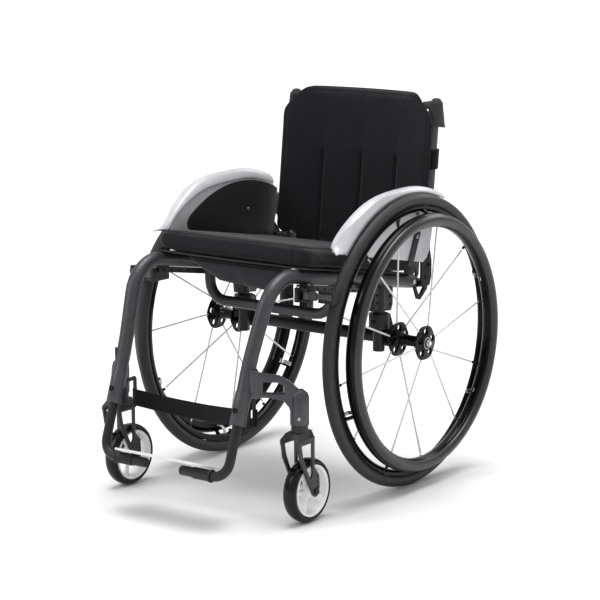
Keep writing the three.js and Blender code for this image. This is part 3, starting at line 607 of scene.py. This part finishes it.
def hub(side, sign, body, centre):
    o = FLANGE
    profile = mirrored(11.2, (11.6, 14), (14, o - 10), (19, o - 6), (34, o - 4.2), (35, o - 3), (35, o - 1.4),
                       (34, o - 0.2), (15, o + 2), (13, o + 3), (6.6, o + 3))
    obj = revolve(f"hub_{side}_body", profile, centre, ["gloss"], 96, "X", flange_radius)
    for i in range(5):
        p, q = (on_wheel(centre, sign, 22.8, 72 * i + 18, x) for x in (-60, 60))
        cutter = tube("hub_cutter", [p, q], 6.8, ["gloss"], None, 24)
        cutter.modifiers.clear()
        modify(obj, "BOOLEAN", operation="DIFFERENCE", object=cutter, solver="EXACT")
        apply_all(obj)
        bpy.data.objects.remove(cutter)
    place(smooth(obj, 0.0005, math.radians(50)), body, f"hub_{side}")
    for r, x, top, finish in ((16.5, o + 1.6, o + 3.2, "gloss"), (11.8, o + 2.6, o + 4.8, "steel")):
        profile = [(r, sign * x), (r, sign * top), (r - 1.6, sign * top), (r - 1.6, sign * x)]
        ring = revolve(f"hub_{side}_ring_{r:.0f}", profile, centre, [finish], 48)
        modify(ring, "BEVEL", width=0.0004, segments=2)
        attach(ring, body)


def spokes(side, sign, body, centre):
    """Radial spokes, led in turn from the outer and the inner flange, each with its nipple."""
    first = 10 if sign > 0 else -1
    for i in range(SPOKES):
        lead = 1 if i % 2 == 0 else -1
        deg = first + 360 / SPOKES * i
        reach = (SPOKE_FOOT, 120, 246, RIM_BED)
        foot, middle_x, end, bed = (lead * (2 + 30 * (RIM_BED - r) / (RIM_BED - SPOKE_FOOT)) for r in reach)
        p = [on_wheel(centre, sign, r, deg, x) for r, x in zip(reach, (foot, middle_x, end))]
        tube(f"spoke_{side}_{i:02d}", p, 1.85, ["spoke"], body, 10)
        n = [on_wheel(centre, sign, r, deg, x) for r, x in ((250, end), (252, end), (256, bed), (259.2, bed))]
        tube(f"nipple_{side}_{i:02d}", n, lambda t: 2.2 + 0.9 * (t > 0.3), ["plastic"], body, 10)


# ---- castors ----
def castor(side, sign, word):
    fork, body = f"castor_fork_{word}", f"castor_wheel_{word}"
    centre = Vector((sign * CASTOR.x, CASTOR.y, CASTOR.z))
    profile = mirrored(62.5, (61.9, 6.2), (60, 11.2), (57, 14.4), (53.5, 15), (50.2, 12.4))
    tyre = revolve(f"castor_tyre_{side}_moulded", profile, centre, ["castor_tyre"], 96)
    subdivide(tyre)
    place(tyre, body, f"castor_tyre_{side}")
    dish = mirrored(43.8, (44.2, 6), (45.6, 13), (47.4, 15.2), (50.3, 14.6), (50, 13.4))
    rim = revolve(f"castor_rim_{side}_moulded", dish, centre, ["white"], 96)
    place(rim, body, f"castor_rim_{side}")
    boss = [(4.5, -15.5), (9.6, -15.5), (11, -14), (13.4, -8), (13.4, 8), (11, 14), (9.6, 15.5), (4.5, 15.5)]
    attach(smooth(revolve(f"castor_boss_{side}", boss, centre, ["white"], 48)), body)
    for i in range(5):
        castor_arm(f"castor_spoke_{side}_{i}", centre, sign, 72 * i + 40, body)
    for x in (-1, 1):
        where = centre + Vector((x * 0.0222, 0, 0))
        end = "in" if x * sign < 0 else "out"
        screw(f"castor_bolt_{side}_{end}", where, (x, 0, 0), 6.4, fork, "black", 3.6)
    where = (STEM_X + 9.8, STEM_Y - 15.2, 208.5)
    fixing(f"stem_screw_{side}", sign, where, (0.54, -0.84, 0), 2.6, "zinc", 1.1)


def castor_arm(name, centre, sign, deg, body):
    """A dished spoke that widens into the rim, with a raised rib each side."""
    section = ((-1, -0.6), (-0.5, -1), (0.5, -1), (1, -0.6), (1, 0.6), (0.5, 1), (-0.5, 1), (-1, 0.6))
    rows = []
    for r, half, thick in ((12, 4.2, 5.6), (18, 4.0, 4.2), (28, 4.4, 3.2), (38, 5.6, 3.6), (44.6, 9.5, 6.5)):
        spread = math.degrees(math.asin(half / r))
        rows.append([on_wheel(centre, sign, r, deg + spread * w, thick * x) for w, x in section])
    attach(smooth(skin(name, rows, ["white"], capped=True), 0.0006), body)


# ---- frame, footrest, locks and hinges ----
def dress_frame():
    for side, _, _ in SIDES:
        for node, finish, bevel in (
            ("side_frame", "frame", 0.0005), ("drop_tube", "black", 0.0005), ("castor_arm", "frame", 0.0012),
            ("castor_fork", "fork", 0.0009), ("back_post", "frame", 0.0006), ("axle_clamp", "black", 0.0012),
            ("accessory_rail", "black", 0.0003), ("castor_axle", "black", 0.0006),
            ("axle_pin", "steel", 0.0006), ("foot_tube", "black", 0.0012),
            ("foot_sleeve", "plastic", 0.0008), ("back_hinge", "black", 0.0006),
            ("strap_loop", "plastic", 0.0009), ("lock_base", "black", 0.0008), ("lock_arm", "frame", 0.0006),
            ("lock_shoe", "plastic", 0.0007), ("guard_panel", "carbon", 0.0003),
        ):
            dress(f"{node}_{side}", finish, bevel)
    for node, finish, bevel in (("front_cross_tube", "frame", 0.0004), ("axle_tube", "black", 0.0006),
                             ("footplate", "plate", 0.0009)):
        dress(node, finish, bevel)


def fixing(name, sign, where, direction, radius, finish, height):
    """A screw in the frame, given as it stands on the chair's right and mirrored for its left."""
    (x, y, z), (u, v, w) = where, direction
    screw(name, at(sign * x, y, z), (sign * u, v, w), radius, "frame", finish, height)


def end_cap(name, profile, where, direction, finish, body, steps=32):
    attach(smooth(solid_turned(name, profile, where, direction, [finish], steps)), body)


def fittings(side, sign, word):
    """Screws, bolts and end caps that the solids leave out."""
    out, up = (1, 0, 0), (0, 0, 1)
    fixing(f"leg_screw_{side}", sign, (153, -467.6, 232), (0, -0.95, 0.32), 5.4, "gloss", 2.2)
    end_cap(f"foot_tube_cap_{side}", [(0, -3), (7.6, -3), (9.3, 0), (9.3, 1.6), (8.2, 2.8), (0, 3.2)],
            at(sign * 46.2, -494.4, 106), (-sign, 0, 0), "plastic", "footrest")
    end_cap(f"rail_plug_{side}", [(0, -4), (11, -4), (13.6, 0), (13.6, 1.2), (12, 2.6), (0, 3.0)],
            at(sign * RAIL_X, 86.2, rail_mid(86.2)), (0, 0.986, -0.166), "plastic", "frame")
    fixing(f"rail_bolt_{side}", sign, (186.3, 77, 398.9), out, 4.6, "zinc", 2.2)
    for i, (y, z) in enumerate(((110, 404), (122, 428))):
        fixing(f"hinge_bolt_{side}_{i}", sign, (HINGE_X, y, z), out, 5.0, "black", 2.4)
    fixing(f"pivot_bolt_{side}", sign, (HINGE_X, 110, 451), out, 6.6, "gloss", 3.0)
    for i, y in enumerate((-250, -190, -108)):
        where = (RAIL_X - 14, y, rail_mid(y) - 1.6)
        fixing(f"sling_screw_{side}_{i}", sign, where, (-1, 0, 0.15), 3.6, "black", 1.6)
    for i, along in enumerate((-1, 1)):
        where = (RAIL_X, -26.8 + along * 20.52, 333.5)
        fixing(f"clamp_bolt_{side}_{i}", sign, where, (0, along, 0), 4.4, "gloss", 2.4)
    for i, y in enumerate((-307, -274)):
        fixing(f"lock_bolt_{side}_{i}", sign, (179, y, 444), up, 3.6, "zinc", 1.6)
    fixing(f"lock_pivot_{side}", sign, (192, -298, 443), up, 5.4, "gloss", 2.4)
    fixing(f"guard_fastener_{side}", sign, (198.5, 24.4, 521), (-1, 0, 0), 3.6, "zinc", 1.0)
    button = Vector((sign * (WHEEL_X + 0.043), AXLE_Y, AXLE_Z))
    end_cap(f"axle_button_{side}", [(0, -0.5), (4.6, -0.5), (4.9, 0.8), (4.2, 2.4), (0, 2.9)],
            button, (sign, 0, 0), "zinc", "frame", 24)
    ring = revolve(f"stem_seal_{side}", [(15.6, -1.6), (17.4, -1.2), (17.4, 1.2), (15.6, 1.6)],
                   at(sign * STEM_X, STEM_Y, 195.3), ["plastic"], 48, "Z")
    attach(smooth(ring), f"castor_fork_{word}")


# ---- side guards ----
GUARD_IN = 200.5  # the panel's inner face
GUARD_REAR, GUARD_TIP = 65.6, 140.2  # its two ends, in degrees round the axle from the rear upwards


def guard_top(deg):
    """Radius of the guard's inner top edge, which swells over the thigh."""
    return 310 + 13.5 * ease(92, 118, deg)


def guard_roll(deg):
    """How far the top edge rolls over towards the rider before it drops to the panel."""
    return 3 + 12 * (1 - ease(104, 136, deg))


def guard_crease(deg):
    """The crease runs along the outer edge, then climbs to meet the top edge at the nose."""
    return 302.5 + 17 * ease(86, 118, deg) + 4.5 * ease(118, 132, deg)


def guard_low(deg):
    """The skirt follows the tyre, then levels out under the nose."""
    return max(297.4, 206 / math.sin(math.radians(deg))) if deg > 110 else 297.4


def round_axle(r, a):
    """Distance behind the axle and height of a point at a radius and angle about it."""
    return r * math.cos(a), AXLE_HEIGHT + r * math.sin(a)


def guard(side, sign):
    """A folded crown with a nose and an outer skirt, an inner panel, and a stay."""
    rows = []
    steps = 96
    for i in range(steps + 1):
        deg = GUARD_REAR + (GUARD_TIP - GUARD_REAR) * (0.5 - 0.5 * math.cos(math.pi * i / steps))
        top, crease, low = guard_top(deg), guard_crease(deg), guard_low(deg)
        nose = math.sqrt(max(0.0, 1 - ramp(135.6, GUARD_TIP, deg) ** 2.4))
        tail = math.sqrt(max(0.0, 1 - ramp(69, GUARD_REAR, deg) ** 2.4))
        fold = 27.6 - 17 * ease(116, 139, deg)
        slope = top - crease
        roll = guard_roll(deg)
        wide = fold - roll
        profile = ((0, top - 1.3 * roll), (0.18 * roll, top - 0.8 * roll), (0.54 * roll, top - 0.24 * roll),
                   (roll, top), (roll + wide * 0.33, top - 0.12 * slope),
                   (roll + wide * 0.62, top - 0.36 * slope), (roll + wide * 0.89, top - 0.80 * slope),
                   (fold, crease), (fold + 1.2, crease - 1.8),
                   (0.2 * fold + 23.4, (crease + low) / 2), (28.4, low))
        row = []
        for x, r in profile:
            r = low + (r - low) * nose + (317 + 0.36 * x - low) * (1 - nose)
            r += (303 - r) * (1 - tail) * 0.6
            x += (27 - x) * (1 - tail) * 0.5
            a = math.radians(deg - 3.2 * max(0, 1 - x / 28) * ramp(126, GUARD_TIP, deg))
            behind, height = round_axle(r, a)
            row.append(at(sign * (GUARD_IN + x), behind, height))
        rows.append(row)
    crown = skin(f"side_guard_{side}_crown", rows, ["shell"], False)
    if sign < 0:
        crown.data.flip_normals()
    modify(crown, "SOLIDIFY", thickness=0.0026, offset=-1)
    subdivide(crown)
    place(crown, "frame", f"side_guard_{side}")
    outline = []
    for i in range(41):
        deg = GUARD_REAR + 1.5 + (134.5 - GUARD_REAR - 1.5) * i / 40
        a = math.radians(deg)
        r = guard_top(deg) - 1.3 * guard_roll(deg) + 0.9
        outline.append(round_axle(r, a))
    outline += [(-228, 503), (-214, 497), (84, 440), (98, 448), (107, 462), (118, 506), (129, 550)]
    plate(f"side_guard_{side}_panel", outline, sign, GUARD_IN + 0.2, "shell")
    stay = [(55, 512), (72, 504), (44, 440), (24, 440)]
    plate(f"side_guard_{side}_stay", stay, sign, GUARD_IN + 3.1, "black")
    where = (GUARD_IN + 5.7, 58, 496)
    fixing(f"side_guard_{side}_stay_screw", sign, where, (1, 0, 0), 3.4, "zinc", 1.4)


def plate(name, outline, sign, inner, finish):
    """A flat plate 2.6 mm thick, its outline given as (behind the axle, height)."""
    bm = bmesh.new()
    rings = [[bm.verts.new(at(sign * x, y, z)) for y, z in outline] for x in (inner, inner + 2.6)]
    loop_faces(bm, rings)
    bm.faces.new(rings[0])
    bm.faces.new(rings[1])
    obj = smooth(finish_mesh(name, bm, [finish]), 0.0008, math.radians(30))
    place(obj, "frame", None)


# ---- soft goods ----
def grid_piece(name, u_count, v_count, point, finishes):
    """A sheet of points, each put in place by a function of two shares from 0 to 1."""
    rows = [[point(i / (u_count - 1), j / (v_count - 1)) for i in range(u_count)] for j in range(v_count)]
    return skin(name, rows, finishes, False)


VOXEL = 0.005  # grain of the remeshed pads
PUFF_FRAMES = 20


def coordinates(obj):
    co = np.empty(len(obj.data.vertices) * 3)
    obj.data.vertices.foreach_get("co", co)
    return co.reshape(-1, 3)


def set_coordinates(obj, co):
    obj.data.vertices.foreach_set("co", co.ravel())
    obj.data.update()


def puff(obj, pressure, cap):
    """Inflates a closed form with Cloth, moving no point further than the cap."""
    modify(obj, "REMESH", mode="VOXEL", voxel_size=VOXEL, use_smooth_shade=True)
    apply_all(obj)
    before = coordinates(obj)
    cloth = modify(obj, "CLOTH")
    cloth.settings.use_pressure = True
    cloth.settings.uniform_pressure_force = pressure
    cloth.settings.effector_weights.gravity = 0
    cloth.settings.quality = 6
    cloth.point_cache.frame_start = 1
    cloth.point_cache.frame_end = PUFF_FRAMES
    SCENE.frame_start, SCENE.frame_end = 1, PUFF_FRAMES
    for f in range(1, PUFF_FRAMES + 1):
        SCENE.frame_set(f)
    apply_all(obj)
    SCENE.frame_set(1)
    move = coordinates(obj) - before
    length = np.linalg.norm(move, axis=1, keepdims=True)
    move *= np.minimum(1, cap / np.maximum(length, 1e-9))
    set_coordinates(obj, before + move)
    return obj


def reshape(obj, change):
    """Moves each vertex to where the function puts it."""
    for v in obj.data.vertices:
        v.co = change(v.co)
    obj.data.update()


def groove(distance, width, depth):
    """A rounded V pulled in along a seam."""
    t = abs(distance) / width
    return depth * max(0.0, 1 - t) ** 1.6


def fit(obj, lo, hi):
    """Scales the piece to fill a box, since an inflated form draws in at its edges."""
    co = coordinates(obj)
    least, most = co.min(axis=0), co.max(axis=0)
    set_coordinates(obj, (co - least) / (most - least) * np.subtract(hi, lo) + lo)


def inflated(name, outline, layers, pressure, cap, finishes):
    """A flat outline stacked in layers of (inset, height) and puffed up. Metres."""
    bm = bmesh.new()
    middle_x = sum(x for x, _ in outline) / len(outline)
    middle_y = sum(y for _, y in outline) / len(outline)
    rings = []
    for inset, height in layers:
        ring = []
        for x, y in outline:
            n = Vector((x - middle_x, y - middle_y, 0)).normalized()
            ring.append(bm.verts.new(Vector((x, y, height)) - n * inset))
        rings.append(ring)
    loop_faces(bm, rings)
    bm.faces.new(rings[0])
    bm.faces.new(rings[-1])
    return puff(finish_mesh(name, bm, finishes), pressure, cap)


def corner(x, y, r, start, steps, cut=0.0):
    """Points round a quarter turn, whose middle is drawn in by a share of the radius."""
    points = []
    for k in range(steps + 1):
        turn = math.radians(90 * k / steps)
        reach = r * (1 - cut * math.sin(2 * turn) ** 2)
        a = math.radians(start) + turn
        points.append((x + reach * math.cos(a), y + reach * math.sin(a)))
    return points


# Metres: half the cushion's width, its front and rear edges, its thickness and its corner radius
CUSHION = (0.1855, -0.2915, 0.0835, 0.0435, 0.02)


def on_rails(p):
    """A point of the cushion, drawn level, laid on the sloping seat."""
    return at(p.x * 1000, p.y * 1000, rail_top(p.y * 1000) + 4.0 + p.z * 1000)


def cushion():
    half, front, rear, thick, r = CUSHION
    outline = []
    for i, (x, y) in enumerate(((half - r, rear - r), (r - half, rear - r), (r - half, front + r),
                                (half - r, front + r))):
        outline += corner(x, y, r, 90 * i, 4)
    layers = ((0.008, 0.0), (0.002, 0.005), (0, 0.012),
              (0, thick - 0.012), (0.003, thick - 0.004), (0.011, thick))
    obj = inflated("seat_cushion_cover", outline, layers, 3.5, 0.007, ["cover", "knit"])
    fit(obj, (-half, front, 0.0), (half, rear, thick))

    def settle(p):
        """The top sinks a little at its sides and rear and rolls gently, then the cushion lies down."""
        q = p.copy()
        q.z -= 0.004 * ease(0.82, 1.0, abs(q.x) / half) * ease(0.5, 1, q.z / thick)
        q.z -= 0.006 * ease(rear - 0.03, rear, q.y) * ease(0.5, 1, q.z / thick)
        q.z += 0.0009 * noise.noise(q * 16) * ease(0.6, 1, q.z / thick)
        return on_rails(q)

    reshape(obj, settle)
    subdivide(obj)
    apply_all(obj)
    for poly in obj.data.polygons:
        poly.use_smooth = True
        poly.material_index = 1 if poly.normal.y < -0.45 else 0
    place(obj, "frame", "seat_cushion")
    for name, z in (("top", thick - 0.0045), ("bottom", 0.0055)):
        piping(f"cushion_piping_{name}", outline, z)
    seam = [on_rails(Vector((half - 0.036, front - 0.0004, 0.006 + 0.030 * k / 8))) for k in range(9)]
    place(tube("cushion_seam", seam, 0.9, ["cover"], None, 8), "frame", None)


def walk(outline, spacing):
    """Points along a closed outline, about this far apart on its long sides."""
    for (x, y), (nx, ny) in zip(outline, outline[1:] + outline[:1]):
        steps = max(1, int(math.hypot(nx - x, ny - y) / spacing))
        for k in range(steps):
            yield x + (nx - x) * k / steps, y + (ny - y) * k / steps


def piping(name, outline, z):
    points = [on_rails(Vector((0.995 * x, 0.995 * y - 0.0005, z))) for x, y in walk(outline, 0.02)]
    obj = tube(name, points, 1.3, ["cover"], "frame", 8, closed=True)


def post_y(z):
    """How far behind the axle the middle of a back post lies."""
    return 144.5 + LEAN * (z - 598)


PAD_LOW, PAD_TUCK, PAD_TOP, PAD_HALF, PAD_CORNER = 469, 447, 774, 188, 60
TUCK_HALF = 141
PAD_DEPTH = 0.03
CHANNELS = (-93, 0, 93)
CHANNEL_TOP = 640


def pad_outline():
    """The pad from the front: its middle tucks down behind the seat, its shoulders are cut off round."""
    h, c = PAD_HALF, PAD_CORNER
    points = [(-h, PAD_LOW + 10), (-h + 10, PAD_LOW), (-TUCK_HALF - 6, PAD_LOW), (-TUCK_HALF, PAD_LOW - 6),
              (-TUCK_HALF, PAD_TUCK + 6), (-TUCK_HALF + 6, PAD_TUCK)]
    points += [(-x, z) for x, z in reversed(points)]
    return points + corner(h - c, PAD_TOP - c, c, 0, 8, 0.15) + corner(c - h, PAD_TOP - c, c, 90, 8, 0.15)


def pad_front(x, z):
    """How far behind the axle the pad's face lies, bowed between the posts."""
    return 120 + 30 * (1 - (x / PAD_HALF) ** 2) + LEAN * (z - 640)


def pad_back(x, z):
    """How far behind the axle the pad's back lies, thinner where it passes in front of the posts."""
    t = abs(x) / PAD_HALF
    return 181 - 8 * ease(0, 0.55, t) - 40 * ease(0.5, 0.88, t) + LEAN * (z - 640)


def on_pad(x, z, depth):
    """A point of the pad: 0 is on its face and 1 on its back."""
    return at(x, pad_front(x, z) * (1 - depth) + pad_back(x, z) * depth, z)


def back_pad():
    outline = [(x / 1000, z / 1000) for x, z in pad_outline()]
    t = PAD_DEPTH
    layers = ((0.007, 0.0), (0.002, 0.004), (0, 0.010), (0, t - 0.010), (0.002, t - 0.004), (0.007, t))
    obj = inflated("back_pad_cover", outline, layers, 3.0, 0.006, ["pad"])
    fit(obj, (-PAD_HALF / 1000, PAD_TUCK / 1000, 0), (PAD_HALF / 1000, PAD_TOP / 1000, t))
    subdivide(obj)
    apply_all(obj)

    def sew(p):
        """Bends the flat pad to its curve and pulls in its channels and the welt round its edge."""
        x, z, depth = p.x * 1000, p.y * 1000, p.z / t
        q = on_pad(x, z, depth)
        if depth < 0.5:
            fade = 1 - ease(CHANNEL_TOP - 8, CHANNEL_TOP + 12, z)
            above = ease(CHANNEL_TOP - 10, CHANNEL_TOP + 30, z) * (1 - ease(680, 730, z))
            for c in CHANNELS:
                q.y += fade * (groove(x - c, 6.5, 6.5) + groove(x - c, 36, 3.0)) / 1000
                q.y += above * groove(x - c, 28, 1.4) / 1000
            welt = abs(pad_edge(x, z) - 9)
            q.y += 0.0011 * groove(welt, 3.5, 1)
        return q + 0.0006 * noise.noise_vector(Vector((x / 60, depth, z / 60)))

    reshape(obj, sew)
    for poly in obj.data.polygons:
        poly.use_smooth = True
    place(obj, "backrest", "back_pad")
    rim = []
    for x, z in walk(pad_outline(), 14):
        inset = 1.4 * ease(500, 775, z) - 1.2 * ease(500, 447, z)
        rim.append(on_pad(0.993 * x, z - inset, 0.55))
    cord = tube("back_pad_piping", rim, 1.7, ["cover"], "backrest", 8, closed=True)
    for c in CHANNELS:
        stitches(f"channel_stitch_{c + 93:03d}", c)


def pad_edge(x, z):
    """Distance in from the pad's sides and top."""
    h, c = PAD_HALF, PAD_CORNER
    dx, dz = h - abs(x), PAD_TOP - z
    if dx < c and dz < c:
        return c - math.hypot(c - dx, c - dz)
    return min(dx, dz)


def stitches(name, x):
    """A sewn line at the bottom of a channel: short thread lengths, a little proud of the fold."""
    bm = bmesh.new()
    z = PAD_LOW + 14
    while z < CHANNEL_TOP - 2:
        rings = []
        for k in range(4):
            zz = z + 3.4 * k / 3
            lift = 0.45 * math.sin(math.pi * k / 3)
            y = pad_front(x, zz) + 9.2 - lift
            ring = []
            for j in range(6):
                a = TAU * j / 6
                ring.append(bm.verts.new(at(x + 0.55 * math.cos(a), y + 0.5 * math.sin(a), zz)))
            rings.append(ring)
        loop_faces(bm, rings)
        close_ends(bm, rings)
        z += 4.6
    place(finish_mesh(name, bm, ["thread"]), "backrest")


def sling():
    """The seat's nylon, drawn taut across the tops of the rails, with a slight belly between them."""
    def point(u, v):
        x = -185 + 370 * u
        y = -299 + 376 * v
        lift = 2.4 - 1.2 * math.sin(math.pi * u)
        wave = 0.35 * noise.noise(Vector((x / 40, y / 55, 0.3)))
        return at(x, y, rail_top(y) + lift + wave)

    obj = grid_piece("seat_sling_nylon", 75, 61, point, ["nylon"])
    modify(obj, "SOLIDIFY", thickness=0.0019, offset=-1)
    place(obj, "frame", "seat_sling")


POUCH_HALF, POUCH_Y = 123, -262


def pouch_low(x):
    """Height of the bag's lower edge: straight runs of cut cloth, fuller on the chair's right."""
    return float(np.interp(x, (-127, -88, -43, 79, 116, 124), (470, 448, 427, 419, 468, 474)))


def pouch():
    """A soft bag slung under the front of the seat: a full lower belly, puckered along its top hem."""
    across, around, top = 65, 40, 470.5
    rows = []
    for j in range(across):
        s = -1 + 2 * j / (across - 1)
        x = POUCH_HALF * s
        low = min(pouch_low(x), 466.0)
        ring = []
        for i in range(around):
            a = TAU * i / around
            cz, cy = math.cos(a), math.sin(a)
            t = 0.5 + 0.5 * math.copysign(abs(cz) ** 0.6, cz)
            z = low + (top - low) * t
            depth = 18.5 * (0.55 + 0.45 * t) * (1 - 0.7 * abs(s) ** 8)
            y = POUCH_Y + depth * math.copysign(abs(cy) ** 0.65, cy)
            crease = 1.6 * noise.noise(Vector((x / 30 + z / 40, z / 22, y / 60)))
            crease += 0.6 * noise.noise(Vector((x / 9, z / 30, 1)))
            y += crease * (1 - 0.5 * t)
            z = min(z + (rail_top(y) - 0.5 - top) * ease(0.5, 1.0, t), rail_top(y) + 0.2)
            ring.append(at(x, y, z))
        rows.append(ring)
    obj = skin("seat_pouch_bag", rows, ["nylon"], capped=True)
    subdivide(obj)
    place(obj, "frame", "seat_pouch")
    for name, drop in (("hem", 4.0), ("seam", 9.5)):
        line = []
        for i in range(61):
            x = 119 * (-1 + 2 * i / 60)
            wander = 0.8 * noise.noise(Vector((x / 30, 21, -4)))
            y = POUCH_Y - 18.3 * (1 - 0.7 * abs(x / POUCH_HALF) ** 8) + wander
            line.append(at(x, y, rail_top(y) - 0.5 - drop))
        place(tube(f"pouch_{name}", line, 0.8, ["thread"], None, 6), "frame", None)


def calf_strap():
    """Webbing between the two loops, hanging a little lower and further back in the middle."""
    def point(u, v):
        s = 2 * u - 1
        slack = 1 - s * s
        curl = 1.3 * (2 * v - 1) ** 2 * slack
        twist = 0.9 * noise.noise(Vector((u * 5, v * 1.3, 3)))
        return at(144 * s, -410 + 25 * slack - curl + twist, 221 - 13 * slack - 33 * v)

    strap = grid_piece("calf_strap_webbing", 81, 13, point, ["webbing"])
    modify(strap, "SOLIDIFY", thickness=0.0022, offset=0)
    place(strap, "frame", "calf_strap")
    for side, sign, _ in SIDES:
        def fold(u, v, sign=sign):
            """Round the loop's rear bar and back on itself."""
            a = math.pi * u
            return at(sign * (148.2 + 5.6 * math.sin(a)), -403.0 - 4.2 * math.cos(a), 220.5 - 32.4 * v)

        band = grid_piece(f"calf_strap_fold_{side}", 17, 9, fold, ["webbing"])
        modify(band, "SOLIDIFY", thickness=0.0018, offset=0)
        place(band, "frame", None)


def sleeve(around, along, point):
    """Rows of points round a post, placed by their shares of the way round and up."""
    return [[point(i / around, j / along) for i in range(around)] for j in range(along + 1)]


def post_flap(side, sign):
    """The back cover's top flap, sleeved over the post and closed on top, and the tab that joins it."""
    def point(u, v):
        """Gathered over the post's end, spreading backwards and outwards lower down."""
        a = TAU * u
        z = 708 + 55 * v
        spread = (1 - v) ** 1.3
        top = ease(0.84, 1, v)
        x = 177.5 + (13.2 + 1.6 * spread - 5 * top) * math.cos(a)
        y = post_y(z) + 3.0 + 8.6 * spread + (15.5 + 10 * spread - 6 * top) * math.sin(a)
        crumple = noise.noise(Vector((x / 12, y / 12, z / 22)))
        drop = spread * (3.5 * math.sin(a) + 2.5 * math.cos(a))
        return at(sign * min(x + crumple * math.cos(a), 192.8), y + crumple * math.sin(a), z - drop)

    bm = bmesh.new()
    rows = [[bm.verts.new(p) for p in row] for row in sleeve(40, 22, point)]
    loop_faces(bm, rows)
    edge = rows[-1]
    lid = sum((v.co for v in edge), Vector()) / len(edge)
    peak = bm.verts.new(lid + Vector((0, 0, 0.0022)))
    inner = [bm.verts.new(lid.lerp(v.co, 0.6) + Vector((0, 0, 0.0017))) for v in edge]
    loop_faces(bm, [edge, inner])
    for j, v in enumerate(inner):
        bm.faces.new((v, inner[(j + 1) % len(inner)], peak))
    obj = finish_mesh(f"post_cap_{side}_flap", bm, ["cap"])
    modify(obj, "SOLIDIFY", thickness=0.0017, offset=-1)
    subdivide(obj)
    place(obj, "backrest", f"post_cap_{side}")
    spine = [at(sign * x, y, z) for x, y, z in ((134, 168, 742), (150, post_y(750) - 6, 748),
                                               (166, post_y(752) - 2, 751), (180, post_y(752) + 2, 752))]
    tab = tube(f"post_cap_{side}_tab", spine, lambda t: 13 - 3 * t, ["cap"], "backrest", 20, flat=0.4)


def post_strap(side, sign):
    """Webbing wrapped round the post below the flap."""
    def point(u, v):
        a = TAU * u
        z = 622 + 40 * v
        r = 14.9 + 0.35 * noise.noise(Vector((math.cos(a) * 2, math.sin(a) * 2, v * 3)))
        return at(sign * (177 + (r - 0.4) * math.cos(a)), post_y(z) + 1.0 + (r + 1.8) * math.sin(a), z)

    strap = skin(f"post_strap_{side}_webbing", sleeve(36, 8, point), ["webbing"])
    modify(strap, "SOLIDIFY", thickness=0.0018, offset=-1)
    modify(strap, "BEVEL", width=0.0004, segments=1, limit_method="ANGLE")
    place(strap, "backrest", f"post_strap_{side}")


SMOOTH = smoothing_group()
camera()
make_materials()
studio()
dress_frame()
for SIDE in SIDES:
    wheel(*SIDE)
    castor(*SIDE)
    guard(*SIDE[:2])
for SIDE in SIDES:
    fittings(*SIDE)
cushion()
back_pad()
sling()
pouch()
calf_strap()
for SIDE in SIDES:
    post_flap(*SIDE[:2])
    post_strap(*SIDE[:2])
